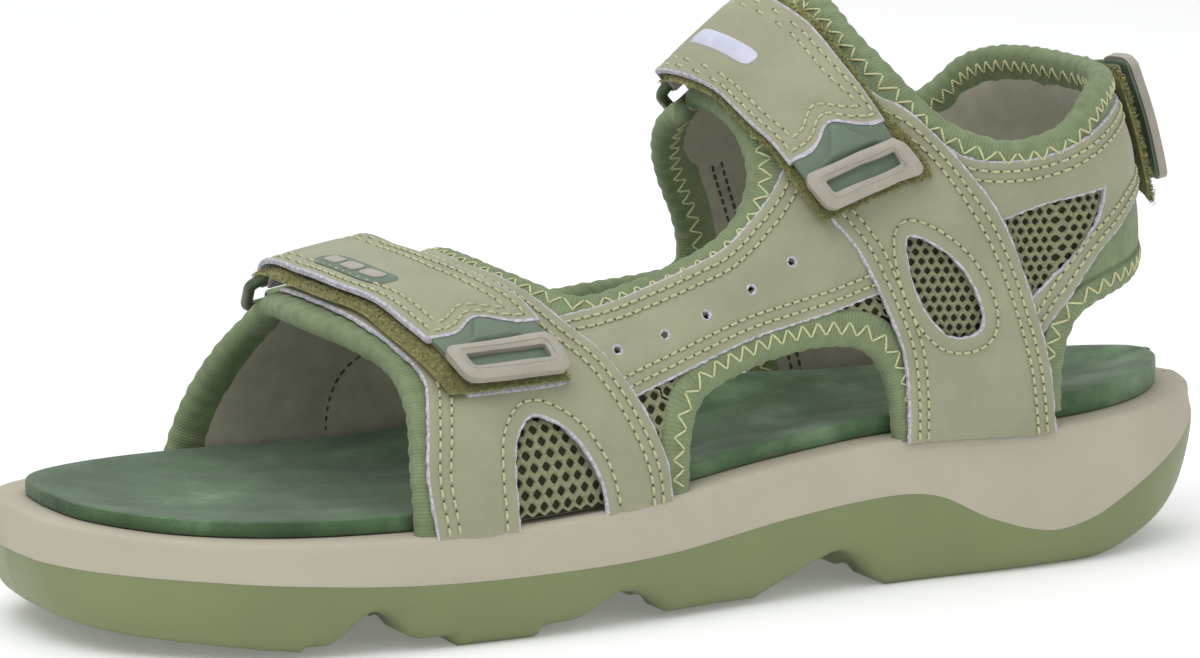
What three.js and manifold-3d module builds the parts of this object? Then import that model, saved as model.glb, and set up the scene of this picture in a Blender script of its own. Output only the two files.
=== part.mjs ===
// Left sandal with three hook-and-loop straps, built round a foot-form surface.
// Millimetres. Toe towards -X, lateral (outer) side towards -Y, +Z up, ground at z = 0.
// European size 39: the sole is 274 long.
import * as THREE from 'three';
import { mergeVertices } from 'three/addons/utils/BufferGeometryUtils.js';
import Module from 'manifold-3d';

const wasm = await Module();
wasm.setup();

// ---------- driving dimensions ----------
const FEATHER_GAP = 0.4;      // uppers stand this far above the midsole's rim
const BUILD_GAP = 0.15;       // half of the gap between stacked sole layers
const HEEL_START = 85;        // where the side walls begin to wrap round the heel
const HEEL_ARC = 30;          // girth of the wrap per radian
const HEEL_SQUARE = 0.85;     // below 1 makes the heel wrap fuller than an ellipse
const BACK = HEEL_START + HEEL_ARC * Math.PI / 2;   // w of the back seam
const LATERAL = -1;
const MEDIAL = 1;

// layers, as distances out from the foot-form
const LINING = [0.5, 2.9];
const MESH = [3.3, 3.9];
const BINDING = [0.5, 3.9];
const OVERLAY = [4.4, 5.5];
const ROOT = [5.9, 6.6];
const PILE = [6.9, 7.3];
const HOOK = [7.6, 8.0];
const STRAP = [8.5, 9.5];
const TAB_TOP = 10.1;
const FRAME_TOP = 12.0;
const RING_WIRE = 2.6;
const RING_LEVEL = 8.6;       // distance of the ring's middle plane from the foot-form
const RING_REACH = 9;         // girth from the bar the strap folds over to the bar in the loop
const EDGE_WIDTH = 4;         // of the padded elastic binding
const SEAM_GAP = 0.4;

const MATERIALS = {
  rubber: [0x6f7f55, 0.55], midsole: [0xaca591, 0.7], footbed: [0x64785e, 0.9],
  leather: [0x999c82, 0.6], lining: [0x6d6757, 0.95], mesh: [0x85846b, 0.9],
  binding: [0x5f7a58, 0.85], tape: [0x8f9440, 1.0], plastic: [0x5a6a4c, 0.45],
  tab: [0x6d8a78, 0.5], frame: [0x9e9a91, 0.5], board: [0xb9ad94, 0.9], silver: [0xc4c7d6, 0.3],
};

// ---------- small maths ----------
// smooth curve through knots [x, y], flat outside them
function through(knots) {
  const last = knots.length - 1;
  const slopes = knots.map((knot, i) => {
    const before = knots[Math.max(i - 1, 0)];
    const after = knots[Math.min(i + 1, last)];
    return (after[1] - before[1]) / (after[0] - before[0]);
  });
  return (value) => {
    const x = Math.min(Math.max(value, knots[0][0]), knots[last][0]);
    let i = 0;
    while (i < last - 1 && x > knots[i + 1][0]) i += 1;
    const span = knots[i + 1][0] - knots[i][0];
    const t = (x - knots[i][0]) / span;
    const rise = t * t * (3 - 2 * t);
    const lead = t * (1 - t) * (1 - t) * span * slopes[i];
    const trail = -t * t * (1 - t) * span * slopes[i + 1];
    return knots[i][1] * (1 - rise) + knots[i + 1][1] * rise + lead + trail;
  };
}

const mix = (a, b, t) => a + (b - a) * t;
const mix2 = (a, b, t) => [mix(a[0], b[0], t), mix(a[1], b[1], t)];

// evenly spaced samples of a smooth 2D line through knots
function track(knots) {
  const curve = new THREE.SplineCurve(knots.map(([a, b]) => new THREE.Vector2(a, b)));
  curve.arcLengthDivisions = 60;
  return (fraction) => {
    const point = curve.getPointAt(Math.min(Math.max(fraction, 0), 1));
    return [point.x, point.y];
  };
}

// ---------- foot-form ----------
// The upper's pieces are drawn on the foot-form in flat girth coordinates:
// w runs along the foot, then round the heel; t runs up the wall from the feather line.
const featherZ = through([[-137, 27], [-110, 24.8], [-60, 24], [-20, 25.5], [20, 29.8],
  [50, 32], [85, 31], [105, 31.5], [120, 32.4], [137, 34]]);
const wallY = {
  [LATERAL]: through([[-130, -12], [-120, -26], [-100, -37.5], [-72, -42.5], [-45, -43],
    [-15, -39.5], [20, -34.5], [50, -31.5], [85, -30]]),
  [MEDIAL]: through([[-130, 22], [-120, 32], [-95, 41.5], [-68, 43], [-38, 39.5],
    [-10, 33], [20, 28], [50, 27], [85, 28]]),
};
const ridgeZ = through([[-136, 30], [-110, 46], [-80, 56.5], [-60, 61.5], [-45, 64], [-25, 69.5],
  [-5, 78.5], [10, 87.5], [25, 98], [34, 105.5], [43, 113], [52, 122], [65, 150], [75, 230], [85, 300]]);
const ridgeY = through([[-136, 14], [-60, 12], [-20, 11], [20, 9], [45, 5], [70, 0], [85, 0]]);
const heelDepth = through([[30, 28], [55, 29], [70, 30], [85, 27], [99, 22], [110, 18]]);
const FULLNESS = { [LATERAL]: [1.9, 2.0], [MEDIAL]: [2.1, 2.2] };
const SECTION_STEPS = 48;

const sectionCache = new Map();
// the wall's section at one x, from feather line to ridge: [y, z, girth so far]
function section(x, side) {
  const key = `${side} ${x.toFixed(3)}`;
  if (sectionCache.has(key)) return sectionCache.get(key);
  const [bulgeY, bulgeZ] = FULLNESS[side];
  const foot = featherZ(x);
  const top = ridgeZ(x);
  const middle = ridgeY(x);
  const wall = wallY[side](x);
  const points = [];
  let girth = 0;
  for (let i = 0; i <= SECTION_STEPS; i += 1) {
    const angle = (i / SECTION_STEPS) * Math.PI / 2;
    const out = i === SECTION_STEPS ? 0 : Math.cos(angle) ** (2 / bulgeY);
    const y = middle + (wall - middle) * out;
    const z = foot + (top - foot) * Math.sin(angle) ** (2 / bulgeZ);
    if (i > 0) girth += Math.hypot(y - points[i - 1][0], z - points[i - 1][1]);
    points.push([y, z, girth]);
  }
  sectionCache.set(key, points);
  return points;
}

function along(points, girth) {
  let i = 0;
  while (i < points.length - 2 && girth > points[i + 1][2]) i += 1;
  const part = (girth - points[i][2]) / (points[i + 1][2] - points[i][2]);
  return mix2(points[i], points[i + 1], part);
}

// a point of the foot-form itself; past the back seam it runs on along the other side
function formPoint(w, t, side) {
  if (w > BACK) return formPoint(2 * BACK - w, t, -side);
  const x = Math.min(w, HEEL_START);
  const near = section(x, side);
  const full = near[SECTION_STEPS][2];
  const far = section(x, -side);
  const yz = t <= full ? along(near, t) : along(far, far[SECTION_STEPS][2] - (t - full));
  if (w <= HEEL_START) return new THREE.Vector3(x, yz[0], yz[1]);
  const angle = (w - HEEL_START) / HEEL_ARC;
  const backX = HEEL_START + heelDepth(yz[1]) * Math.sin(angle) ** HEEL_SQUARE;
  const narrow = Math.max(Math.cos(angle), 0) ** HEEL_SQUARE;
  return new THREE.Vector3(backX, yz[0] * narrow, yz[1]);
}

// local directions of the foot-form: along w, along t, and outwards
function directions(w, t, side) {
  const step = 0.4;
  const dw = formPoint(w + step, t, side).sub(formPoint(w - step, t, side)).normalize();
  const dt = formPoint(w, t + step, side).sub(formPoint(w, t - step, side)).normalize();
  const out = new THREE.Vector3().crossVectors(dw, dt).multiplyScalar(-side).normalize();
  return { dw, dt, out };
}

function skin(w, t, side, distance) {
  return formPoint(w, t, side).addScaledVector(directions(w, t, side).out, distance);
}

// ---------- solids ----------
function geometryOf(points, triangles) {
  const geometry = new THREE.BufferGeometry();
  geometry.setAttribute('position', new THREE.Float32BufferAttribute(points.flatMap((p) => p.toArray()), 3));
  geometry.setIndex(triangles);
  return geometry;
}

function volumeOf(geometry) {
  const position = geometry.getAttribute('position');
  const index = geometry.getIndex();
  const [a, b, c] = [new THREE.Vector3(), new THREE.Vector3(), new THREE.Vector3()];
  let volume = 0;
  for (let i = 0; i < index.count; i += 3) {
    a.fromBufferAttribute(position, index.getX(i));
    b.fromBufferAttribute(position, index.getX(i + 1));
    c.fromBufferAttribute(position, index.getX(i + 2));
    volume += a.dot(b.cross(c)) / 6;
  }
  return volume;
}

// turns a closed geometry the right way out
function facingOut(geometry) {
  if (volumeOf(geometry) > 0) return geometry;
  const index = Array.from(geometry.getIndex().array);
  for (let i = 0; i < index.length; i += 3) [index[i], index[i + 1]] = [index[i + 1], index[i]];
  geometry.setIndex(index);
  return geometry;
}

// a closed slab between two sheets of (rows + 1) x (columns + 1) points
function slab(rows, columns, lowPoint, highPoint) {
  const points = [];
  for (const sheet of [lowPoint, highPoint]) {
    for (let i = 0; i <= rows; i += 1) {
      for (let j = 0; j <= columns; j += 1) points.push(sheet(i / rows, j / columns));
    }
  }
  const sheetSize = (rows + 1) * (columns + 1);
  const at = (layer, i, j) => layer * sheetSize + i * (columns + 1) + j;
  const triangles = [];
  const quad = (a, b, c, d) => triangles.push(a, b, c, a, c, d);
  for (let i = 0; i < rows; i += 1) {
    for (let j = 0; j < columns; j += 1) {
      quad(at(1, i, j), at(1, i + 1, j), at(1, i + 1, j + 1), at(1, i, j + 1));
      quad(at(0, i, j), at(0, i, j + 1), at(0, i + 1, j + 1), at(0, i + 1, j));
    }
  }
  for (let i = 0; i < rows; i += 1) {
    quad(at(0, i, 0), at(0, i + 1, 0), at(1, i + 1, 0), at(1, i, 0));
    quad(at(1, i, columns), at(1, i + 1, columns), at(0, i + 1, columns), at(0, i, columns));
  }
  for (let j = 0; j < columns; j += 1) {
    quad(at(1, 0, j), at(1, 0, j + 1), at(0, 0, j + 1), at(0, 0, j));
    quad(at(0, rows, j), at(0, rows, j + 1), at(1, rows, j + 1), at(1, rows, j));
  }
  return facingOut(geometryOf(points, triangles));
}

function toManifold(geometry) {
  const plain = geometry.clone();
  plain.deleteAttribute('normal');
  plain.deleteAttribute('uv');
  const merged = mergeVertices(plain, 1e-4);
  return new wasm.Manifold(new wasm.Mesh({
    numProp: 3,
    vertProperties: new Float32Array(merged.getAttribute('position').array),
    triVerts: new Uint32Array(merged.getIndex().array),
  }));
}

function fromManifold(solid) {
  const mesh = solid.getMesh();
  const geometry = new THREE.BufferGeometry();
  const count = mesh.vertProperties.length / mesh.numProp;
  const positions = new Float32Array(count * 3);
  for (let i = 0; i < count; i += 1) {
    for (let axis = 0; axis < 3; axis += 1) {
      positions[i * 3 + axis] = mesh.vertProperties[i * mesh.numProp + axis];
    }
  }
  geometry.setAttribute('position', new THREE.BufferAttribute(positions, 3));
  geometry.setIndex(Array.from(mesh.triVerts));
  return geometry;
}

function cut(geometry, tools) {
  let solid = toManifold(geometry);
  for (const tool of tools) solid = solid.subtract(toManifold(tool));
  return fromManifold(solid);
}

// a flat outline, with holes, raised into a solid and laid on a surface by place(a, b, depth)
function laidOutline(outline, holes, depth, place) {
  const toPath = (knots) => knots.map(([a, b]) => new THREE.Vector2(a, b));
  const shape = new THREE.Shape(toPath(outline));
  for (const hole of holes) shape.holes.push(new THREE.Path(toPath(hole)));
  const geometry = new THREE.ExtrudeGeometry(shape, { depth, bevelEnabled: false, steps: 1 });
  const position = geometry.getAttribute('position');
  for (let i = 0; i < position.count; i += 1) {
    const point = place(position.getX(i), position.getY(i), position.getZ(i));
    position.setXYZ(i, point.x, point.y, point.z);
  }
  geometry.deleteAttribute('normal');
  geometry.deleteAttribute('uv');
  return facingOut(mergeVertices(geometry, 1e-4));
}

// ---------- assembly ----------
const sandal = new THREE.Group();

function add(name, geometry, finish) {
  const [color, roughness] = MATERIALS[finish];
  geometry.computeVertexNormals();
  const mesh = new THREE.Mesh(geometry, new THREE.MeshStandardMaterial({ color, roughness, metalness: 0 }));
  mesh.name = name;
  sandal.add(mesh);
}

// ---------- sole ----------
const lateralPlan = track([[-137, 5], [-135, -12], [-127, -26], [-113, -38], [-95, -46],
  [-70, -49.6], [-42, -49.5], [-12, -46], [20, -40.5], [50, -37], [80, -35.5], [103, -32],
  [121, -24], [133, -12], [137, 0]]);
const medialPlan = track([[-137, 5], [-135, 20], [-127, 33], [-113, 43], [-92, 49], [-65, 49.9],
  [-38, 46], [-10, 38.5], [20, 32], [50, 30.5], [80, 32], [103, 30.5], [121, 23], [133, 11], [137, 0]]);
const waveZ = through([[-137, 18], [-113, 17], [-95, 15.8], [-70, 14.2], [-42, 13.8], [-12, 14.5],
  [20, 18.2], [45, 20], [57, 18.6], [70, 12.5], [85, 8.5], [96, 10], [106, 14], [120, 20],
  [130, 24.5], [137, 27]]);
const groundLine = through([[-137, 8], [-127, 5], [-111, 3.2], [-92, 1.2], [-82, 0], [-66, 0], [-30, 0],
  [-10, 1.2], [10, 1.2], [30, 0.4], [48, 0], [97, 0], [106, 1.2], [120, 5.5], [131, 10.5], [137, 15]]);
const groundZ = (x) => Math.max(groundLine(x), 0);
const rimZ = (x) => featherZ(x) - FEATHER_GAP;
const footbedRise = through([[-137, 4.6], [-60, 5], [20, 5.2], [137, 6.2]]);
const PLAN_STEPS = 30;

// one loop of the sole's outline, moved inwards by inset, at a height for each x
function soleLoop(inset, heightAt) {
  const count = PLAN_STEPS * 2;
  const plan = (k) => {
    const step = (k + count) % count;
    if (step <= PLAN_STEPS) return lateralPlan(step / PLAN_STEPS);
    return medialPlan((count - step) / PLAN_STEPS);
  };
  const loop = [];
  for (let k = 0; k < count; k += 1) {
    const [x, y] = plan(k);
    const [ax, ay] = plan(k - 1);
    const [bx, by] = plan(k + 1);
    const length = Math.hypot(bx - ax, by - ay);
    const px = x - (by - ay) / length * inset;
    const py = y + (bx - ax) / length * inset;
    loop.push(new THREE.Vector3(px, py, heightAt(px, py)));
  }
  return loop;
}

// a closed solid through a stack of loops, its ends closed from side to side
function stackedLoops(loops) {
  const count = loops[0].length;
  const points = loops.flat();
  const triangles = [];
  for (let level = 0; level < loops.length - 1; level += 1) {
    for (let k = 0; k < count; k += 1) {
      const next = (k + 1) % count;
      const a = level * count;
      const b = a + count;
      triangles.push(a + k, a + next, b + next, a + k, b + next, b + k);
    }
  }
  const cap = (start, flip) => {
    for (let k = 0; k < count / 2; k += 1) {
      const a = start + k;
      const b = start + k + 1;
      const c = start + (count - k - 1) % count;
      const d = start + (count - k) % count;
      const faces = [[a, b, c], [a, c, d]].filter(([p, q, r]) => p !== q && q !== r && p !== r);
      for (const [p, q, r] of faces) triangles.push(...(flip ? [p, r, q] : [p, q, r]));
    }
  };
  cap(0, true);
  cap((loops.length - 1) * count, false);
  return facingOut(geometryOf(points, triangles));
}

// an outline in x and z pushed through the whole width of the sole
function acrossSole(outline) {
  const width = 140;
  return laidOutline(outline, [], width, (x, z, depth) => new THREE.Vector3(x, depth - width / 2, z));
}

function makeOutsole() {
  const between = (share) => (x) => mix(groundZ(x), waveZ(x) - BUILD_GAP, share);
  const loops = [
    soleLoop(5, between(0)), soleLoop(2.2, between(0.22)), soleLoop(0.6, between(0.6)),
    soleLoop(0, between(1)),
  ];
  const below = -5;
  const grooves = [
    [[-86, below], [-84.5, 2.6], [-81, 6.5], [-77, 8.6], [-74, 7], [-70.5, 2.6], [-68, below]],
    [[-31, below], [-29, 2.4], [-26.5, 4.4], [-21, 6.8], [-16, 5.6], [-11, 2.4], [-10, below]],
    [[12, below], [15, 2], [22, 4.6], [29, 7.2], [35, 8.6], [38.5, 6], [43, 2.6], [46, below]],
  ];
  return cut(stackedLoops(loops), grooves.map(acrossSole));
}

function makeMidsole() {
  const lift = (drop) => (x) => Math.max(rimZ(x) - drop, waveZ(x) + 1.2);
  const bottom = (x) => waveZ(x) + BUILD_GAP;
  const waist = (x) => mix(waveZ(x), rimZ(x), 0.45);
  return stackedLoops([
    soleLoop(0, bottom), soleLoop(0.5, waist), soleLoop(1.5, lift(3)), soleLoop(2.3, lift(1)),
    soleLoop(3.6, lift(0)), soleLoop(12, lift(0)), soleLoop(12.4, lift(1.8)),
  ]);
}

function makeInsoleBoard() {
  const height = (rise) => (x) => rimZ(x) - 1.5 + rise;
  return stackedLoops([soleLoop(13.2, height(0)), soleLoop(13.2, height(1.4))]);
}

function makeFootbed() {
  const height = (share) => (x) => rimZ(x) + 0.25 + footbedRise(x) * share;
  return stackedLoops([
    soleLoop(8.4, height(0)), soleLoop(8.2, height(0.8)), soleLoop(9.4, height(1.02)),
    soleLoop(20, height(0.8)),
  ]);
}

add('outsole', makeOutsole(), 'rubber');
add('midsole', makeMidsole(), 'midsole');
add('insole_board', makeInsoleBoard(), 'board');
add('footbed', makeFootbed(), 'footbed');

// ---------- upper panels ----------
// a panel lies between two edge lines drawn in the same direction
function panel(side, edges, layer, size) {
  const [first, second] = edges.map(track);
  const [rows, columns] = size;
  const sheet = (distance) => (i, j) => {
    const [w, t] = mix2(first(i), second(i), j);
    return skin(w, t, side, distance);
  };
  return slab(rows, columns, sheet(layer[0]), sheet(layer[1]));
}

// a narrow strip beside an edge line, from one distance to another on its left
function edgeStrip(side, knots, from, to, layer, rows) {
  const line = track(knots);
  const sheet = (distance) => (i, j) => {
    const [w, t] = line(i);
    const [w0, t0] = line(i - 0.01);
    const [w1, t1] = line(i + 0.01);
    const length = Math.hypot(w1 - w0, t1 - t0);
    const off = mix(from, to, j);
    const height = Math.max(t + (w1 - w0) / length * off, 0);
    return skin(w - (t1 - t0) / length * off, height, side, distance);
  };
  return slab(rows, 1, sheet(layer[0]), sheet(layer[1]));
}

// a window's cutting tool, a little thicker than the layer it cuts
function windowTool(side, outline, layer) {
  const spare = 1.5;
  const depth = layer[1] - layer[0] + 2 * spare;
  return laidOutline(outline, [], depth, (w, t, d) => skin(w, t, side, layer[0] - spare + d));
}

const smooth = (knots, count) => {
  const curve = new THREE.SplineCurve(knots.map(([a, b]) => new THREE.Vector2(a, b)));
  return curve.getSpacedPoints(count).map((p) => [p.x, p.y]);
};
const shortOfBack = (knots) => knots.map(([w, t]) => [Math.min(w, BACK - 0.3), t]);
const beyondBack = (knots) => knots.concat(knots.slice(0, -1).reverse().map(([w, t]) => [2 * BACK - w, t]));

const FRONT_WINDOW = smooth([[-47, -2], [-47, 8], [-45, 15], [-40, 19], [-33, 15], [-28, 7], [-26, -2]], 14);
const QUARTER_WINDOW = smooth([[50.5, 37], [53, 41], [58, 39.5], [64, 34], [68, 26], [67, 20.5], [61, 19.5],
  [55.5, 24], [51.5, 31], [50.5, 37]], 18).slice(0, -1);
const HEEL_WINDOW = [[71.5, 46], [84, 48.5], [97, 50], [95, 44], [87, 34], [78.5, 27], [75, 36]];

const UPPER = {
  lateral: {
    side: LATERAL,
    frontLining: [
      [[-64.5, 0], [-63.5, 11], [-60.5, 25], [-60.5, 36], [-64, 46], [-67.5, 57], [-69, 69], [-68, 82]],
      [[-9, 0], [-8, 10], [-7, 17], [-13.5, 27], [-24, 38.5], [-32.8, 53], [-36.2, 66], [-37.2, 82]]],
    frontOverlay: [
      [[-64, 0], [-65, 9], [-62, 20], [-60, 29], [-62, 38], [-66, 50]],
      [[-11, 0], [-12, 7], [-16, 18], [-21, 29], [-26, 37], [-31, 50]]],
    armLining: [
      [[-4, 20], [4, 23], [19, 25.5], [33, 25.5], [42, 24]],
      [[-19, 38.5], [-8, 39.5], [4, 41], [12, 43.5], [20, 48.5], [28, 56]]],
    armOverlay: [
      [[-13, 20.5], [-1, 23], [14, 26], [31, 28], [41, 30]],
      [[-23, 39], [-8, 40], [4, 42], [12, 44], [20, 49], [29, 55]]],
    quarterLining: [
      [[51, 0], [49.5, 11], [46, 21], [41, 32], [36, 44], [32, 56], [29, 66], [27.5, 79], [27, 91]],
      [[82.8, 0], [82.6, 18], [77.6, 38], [68.6, 56.5], [60, 61], [54, 67], [50, 75], [48, 84], [47, 93]]],
    quarterOverlay: [
      [[49, 0], [49, 8], [48, 18], [44, 29], [40, 39], [35, 47], [31, 55], [29, 63]],
      [[85, 0], [83, 14], [78, 30], [72, 45], [66, 55], [60, 63], [55, 70], [51, 76]]],
    throat: [[-32.5, 82], [-31.5, 68], [-28, 56], [-20, 44.5], [-8, 43.8], [4, 45.4], [12, 48], [18, 52.5],
      [22.5, 60], [24, 70], [23.5, 80], [23, 91]],
    front: [[-69, 0], [-68, 11], [-65, 25], [-65, 36], [-68.5, 46], [-72, 57], [-73.5, 69], [-72.5, 80]],
    arch: [[-5, 0], [-4, 9], [0, 16], [8, 19], [20, 21], [32, 21], [41, 18], [45.5, 10], [47, 0]],
  },
  medial: {
    side: MEDIAL,
    frontLining: [
      [[-81, 0], [-76.4, 12], [-71, 24], [-67.6, 33], [-67, 42]],
      [[-22, 0], [-22, 9], [-24, 19], [-30.5, 28], [-35.5, 42]]],
    frontOverlay: [
      [[-80, 0], [-76, 12], [-70, 23], [-66, 32]],
      [[-24, 0], [-24, 9], [-27, 20], [-32, 31]]],
    armLining: [
      [[-16.8, 15], [-4, 16.2], [10, 17.7], [24, 18.5], [40, 17.8]],
      [[-21, 24], [-8, 24.5], [4, 25], [16, 25], [30.5, 25.5]]],
    armOverlay: [
      [[-20, 15.4], [-6, 16.5], [8, 18], [24, 18.8], [37.5, 18.8]],
      [[-24, 24], [-8, 24.5], [4, 25], [16, 25], [31, 26]]],
    quarterLining: [
      [[50, 0], [47, 9], [42.5, 17], [36, 26.5], [30.5, 39], [25, 51], [22.5, 57]],
      [[82.8, 0], [82.6, 18], [77.6, 38], [68.6, 56.5], [60, 61], [53, 69], [47, 82]]],
    quarterOverlay: [
      [[49, 0], [46, 9], [41.5, 17], [35, 27], [31, 38], [27, 48], [26, 51]],
      [[85, 0], [83, 14], [78, 30], [72, 45], [66, 55], [58, 63], [50, 74]]],
    throat: [[-31.5, 42], [-26.5, 33], [-20, 28.5], [-8, 28.7], [6, 29], [20, 29], [27, 30.5],
      [26, 39], [21, 50], [18.5, 56]],
    front: [[-86, 0], [-81.5, 12], [-76, 24.5], [-72.5, 32], [-71.5, 38]],
    arch: [[-18, 0], [-17.5, 6], [-13.5, 10.8], [-3, 12.2], [12, 13.6], [28, 14.2], [38, 12.4],
      [43.5, 7.5], [46, 0]],
  },
};

const COLLAR_TOP = [[71, 61.6], [77, 61], [85, 62.6], [91, 66], [98, 70.5], [110, 73], [BACK, 73]];
const HEEL_LINING = [
  [[86, 27.8], [92, 30.8], [99, 32.4], [109, 33.8], [120, 35.2], [BACK, 36]],
  [[71, 56.4], [77, 56], [85, 57.6], [91, 61], [98, 65.4], [110, 68.2], [BACK, 68.2]]];
const HEEL_OVERLAY = [
  [[86.5, 24], [93, 34], [100, 41], [108, 45], [BACK - 0.3, 47]],
  [[64, 59.6], [72, 56.5], [83, 57.5], [92, 60.5], [BACK - 0.3, 66]]];
const HEEL_LOWER = [[87, 3], [87.4, 14], [90, 22], [96, 25.5], [108, 28], [120, 30], [BACK, 31]];

for (const [label, upper] of Object.entries(UPPER)) {
  const { side } = upper;
  add(`${label}_front_lining`, panel(side, upper.frontLining, LINING, [12, 7]), 'lining');
  add(`${label}_front_mesh`, panel(side, upper.frontLining, MESH, [12, 7]), 'mesh');
  add(`${label}_front_overlay`, cut(panel(side, upper.frontOverlay, OVERLAY, [8, 7]),
    [windowTool(side, FRONT_WINDOW, OVERLAY)]), 'leather');
  add(`${label}_arm_lining`, panel(side, upper.armLining, LINING, [8, 2]), 'lining');
  if (side === LATERAL) add(`${label}_arm_mesh`, panel(side, upper.armLining, MESH, [8, 2]), 'mesh');
  add(`${label}_arm_overlay`, panel(side, upper.armOverlay, OVERLAY, [8, 2]), 'leather');
  add(`${label}_quarter_lining`, panel(side, upper.quarterLining, LINING, [12, 4]), 'lining');
  add(`${label}_quarter_mesh`, panel(side, upper.quarterLining, MESH, [12, 4]), 'mesh');
  add(`${label}_quarter_overlay`, cut(panel(side, upper.quarterOverlay, OVERLAY, [10, 4]),
    [windowTool(side, QUARTER_WINDOW, OVERLAY)]), 'leather');
  add(`${label}_heel_mesh`, panel(side, HEEL_LINING.map(shortOfBack), MESH, [10, 3]), 'mesh');
  add(`${label}_heel_overlay`, cut(panel(side, HEEL_OVERLAY, OVERLAY, [10, 3]),
    [windowTool(side, HEEL_WINDOW, OVERLAY)]), 'leather');
  add(`${label}_front_binding`, edgeStrip(side, upper.front, 0, -EDGE_WIDTH, BINDING, 12), 'binding');
  add(`${label}_throat_binding`,
    edgeStrip(side, upper.throat, 0, -EDGE_WIDTH + SEAM_GAP, BINDING, 20), 'binding');
  add(`${label}_arch_binding`,
    edgeStrip(side, upper.arch, 0, EDGE_WIDTH - SEAM_GAP, BINDING, 18), 'binding');
}
add('heel_lining', panel(LATERAL, HEEL_LINING.map(beyondBack), LINING, [20, 3]), 'lining');
add('collar_binding',
  edgeStrip(LATERAL, beyondBack(COLLAR_TOP), 0, -EDGE_WIDTH + SEAM_GAP, BINDING, 28), 'binding');
add('heel_lower_binding',
  edgeStrip(LATERAL, beyondBack(HEEL_LOWER), 0, EDGE_WIDTH - SEAM_GAP, BINDING, 28), 'binding');

// ---------- straps ----------
// A strap lies between two edge lines that run from its pull tab to the ring's bar.
// Along it, s counts millimetres from the tab's end; across it, share runs from 0 to 1.
const STRAP_START = 9.6;      // the pull tab reaches from 0 to here
const FLATTEN = [16, 5, 1.5, 8];   // where webbing turns flat before the ring, and round again after it
const RISE_LENGTH = 10;       // over which the strap climbs onto the bar
const FOLD_CLEARANCE = 0.8;
const LOOP_TAIL = 12;
const ROOT_SHORT = 0.8;       // the root stops this far before the ring's bar, clear of the opening fold
const STATION = 5.5;          // length of webbing between two rows of facets

const STRIPS = {
  front_strap: {
    side: LATERAL,
    first: [[-54, 25.5], [-56.5, 33], [-59, 41], [-61, 50], [-65, 60], [-67, 74], [-67.5, 88]],
    second: [[-31, 25.5], [-32, 33], [-33.5, 42], [-38, 51], [-43, 63], [-46, 76], [-46.5, 88]],
  },
  instep_strap: {
    side: LATERAL,
    first: [[33, 47.5], [30.5, 54], [28.5, 62], [26.3, 69], [25, 82], [24.5, 93]],
    second: [[55, 54.5], [52.5, 60.5], [48.5, 69], [45.5, 78], [44.2, 91], [43.7, 101]],
  },
  heel_strap: {
    side: MEDIAL,
    first: [[137, 69], [BACK, 69], [110, 66], [86, 59]],
    second: [[137, 44], [BACK, 44], [110, 41], [86, 34]],
  },
};

function makeStrip({ side, first, second }) {
  const edges = [first, second].map(track);
  const middle = (fraction) => mix2(edges[0](fraction), edges[1](fraction), 0.5);
  const samples = 40;
  let length = 0;
  for (let i = 0; i < samples; i += 1) {
    const [w0, t0] = middle(i / samples);
    const [w1, t1] = middle((i + 1) / samples);
    length += Math.hypot(w1 - w0, t1 - t0);
  }
  // an edge's flat place, carried straight on past either end
  const edgeAt = (edge, s) => {
    const fraction = s / length;
    const inside = Math.min(Math.max(fraction, 0), 1);
    const beyond = s - inside * length;
    const [w0, t0] = edge(Math.max(inside - 0.02, 0));
    const [w1, t1] = edge(Math.min(inside + 0.02, 1));
    const pace = beyond / Math.hypot(w1 - w0, t1 - t0);
    const [w, t] = edge(inside);
    return [w + (w1 - w0) * pace, t + (t1 - t0) * pace];
  };
  const laid = (share, s, distance) => {
    const [w, t] = mix2(edgeAt(edges[0], s), edgeAt(edges[1], s), share);
    return skin(w, t, side, distance);
  };
  // the ring's local axes: its bar's middle, across the strap, along it, and out from the foot
  const at = laid(0.5, length, RING_LEVEL);
  const across = laid(1, length, RING_LEVEL).sub(laid(0, length, RING_LEVEL));
  const width = across.length();
  across.normalize();
  const onward = laid(0.5, length + RING_REACH, RING_LEVEL).sub(at);
  onward.addScaledVector(across, -onward.dot(across));
  const reach = onward.length();
  onward.normalize();
  const out = new THREE.Vector3().crossVectors(across, onward);
  const flat = (share, s, distance) => at.clone().addScaledVector(across, (share - 0.5) * width)
    .addScaledVector(onward, s - length).addScaledVector(out, distance - RING_LEVEL);
  // webbing lies on the foot-form, and flat on the ring's own axes close to the ring
  const { smoothstep } = THREE.MathUtils;
  const place = (share, s, distance) => {
    const before = smoothstep(s, length - FLATTEN[0], length - FLATTEN[1]);
    const after = smoothstep(s, length + reach + FLATTEN[2], length + reach + FLATTEN[3]);
    return laid(share, s, distance).lerp(flat(share, s, distance), before * (1 - after));
  };
  return { length, place, flat, width, reach };
}

// points of an arc in the (s, distance) plane, angles in degrees
function arc(s, distance, radius, from, to, count) {
  const points = [];
  for (let i = 0; i <= count; i += 1) {
    const angle = THREE.MathUtils.degToRad(mix(from, to, i / count));
    points.push([s + radius * Math.cos(angle), distance + radius * Math.sin(angle)]);
  }
  return points;
}

// a level run whose stations fall at the same places on every layer, so that layers keep their gaps
function levelRun(from, to, distance) {
  const stations = [from];
  const first = Math.floor(from / STATION) + 1;
  for (let k = first; k * STATION < to - 0.5; k += 1) {
    if (k * STATION > from + 0.5) stations.push(k * STATION);
  }
  stations.push(to);
  return stations.map((s) => [s, distance]);
}

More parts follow.
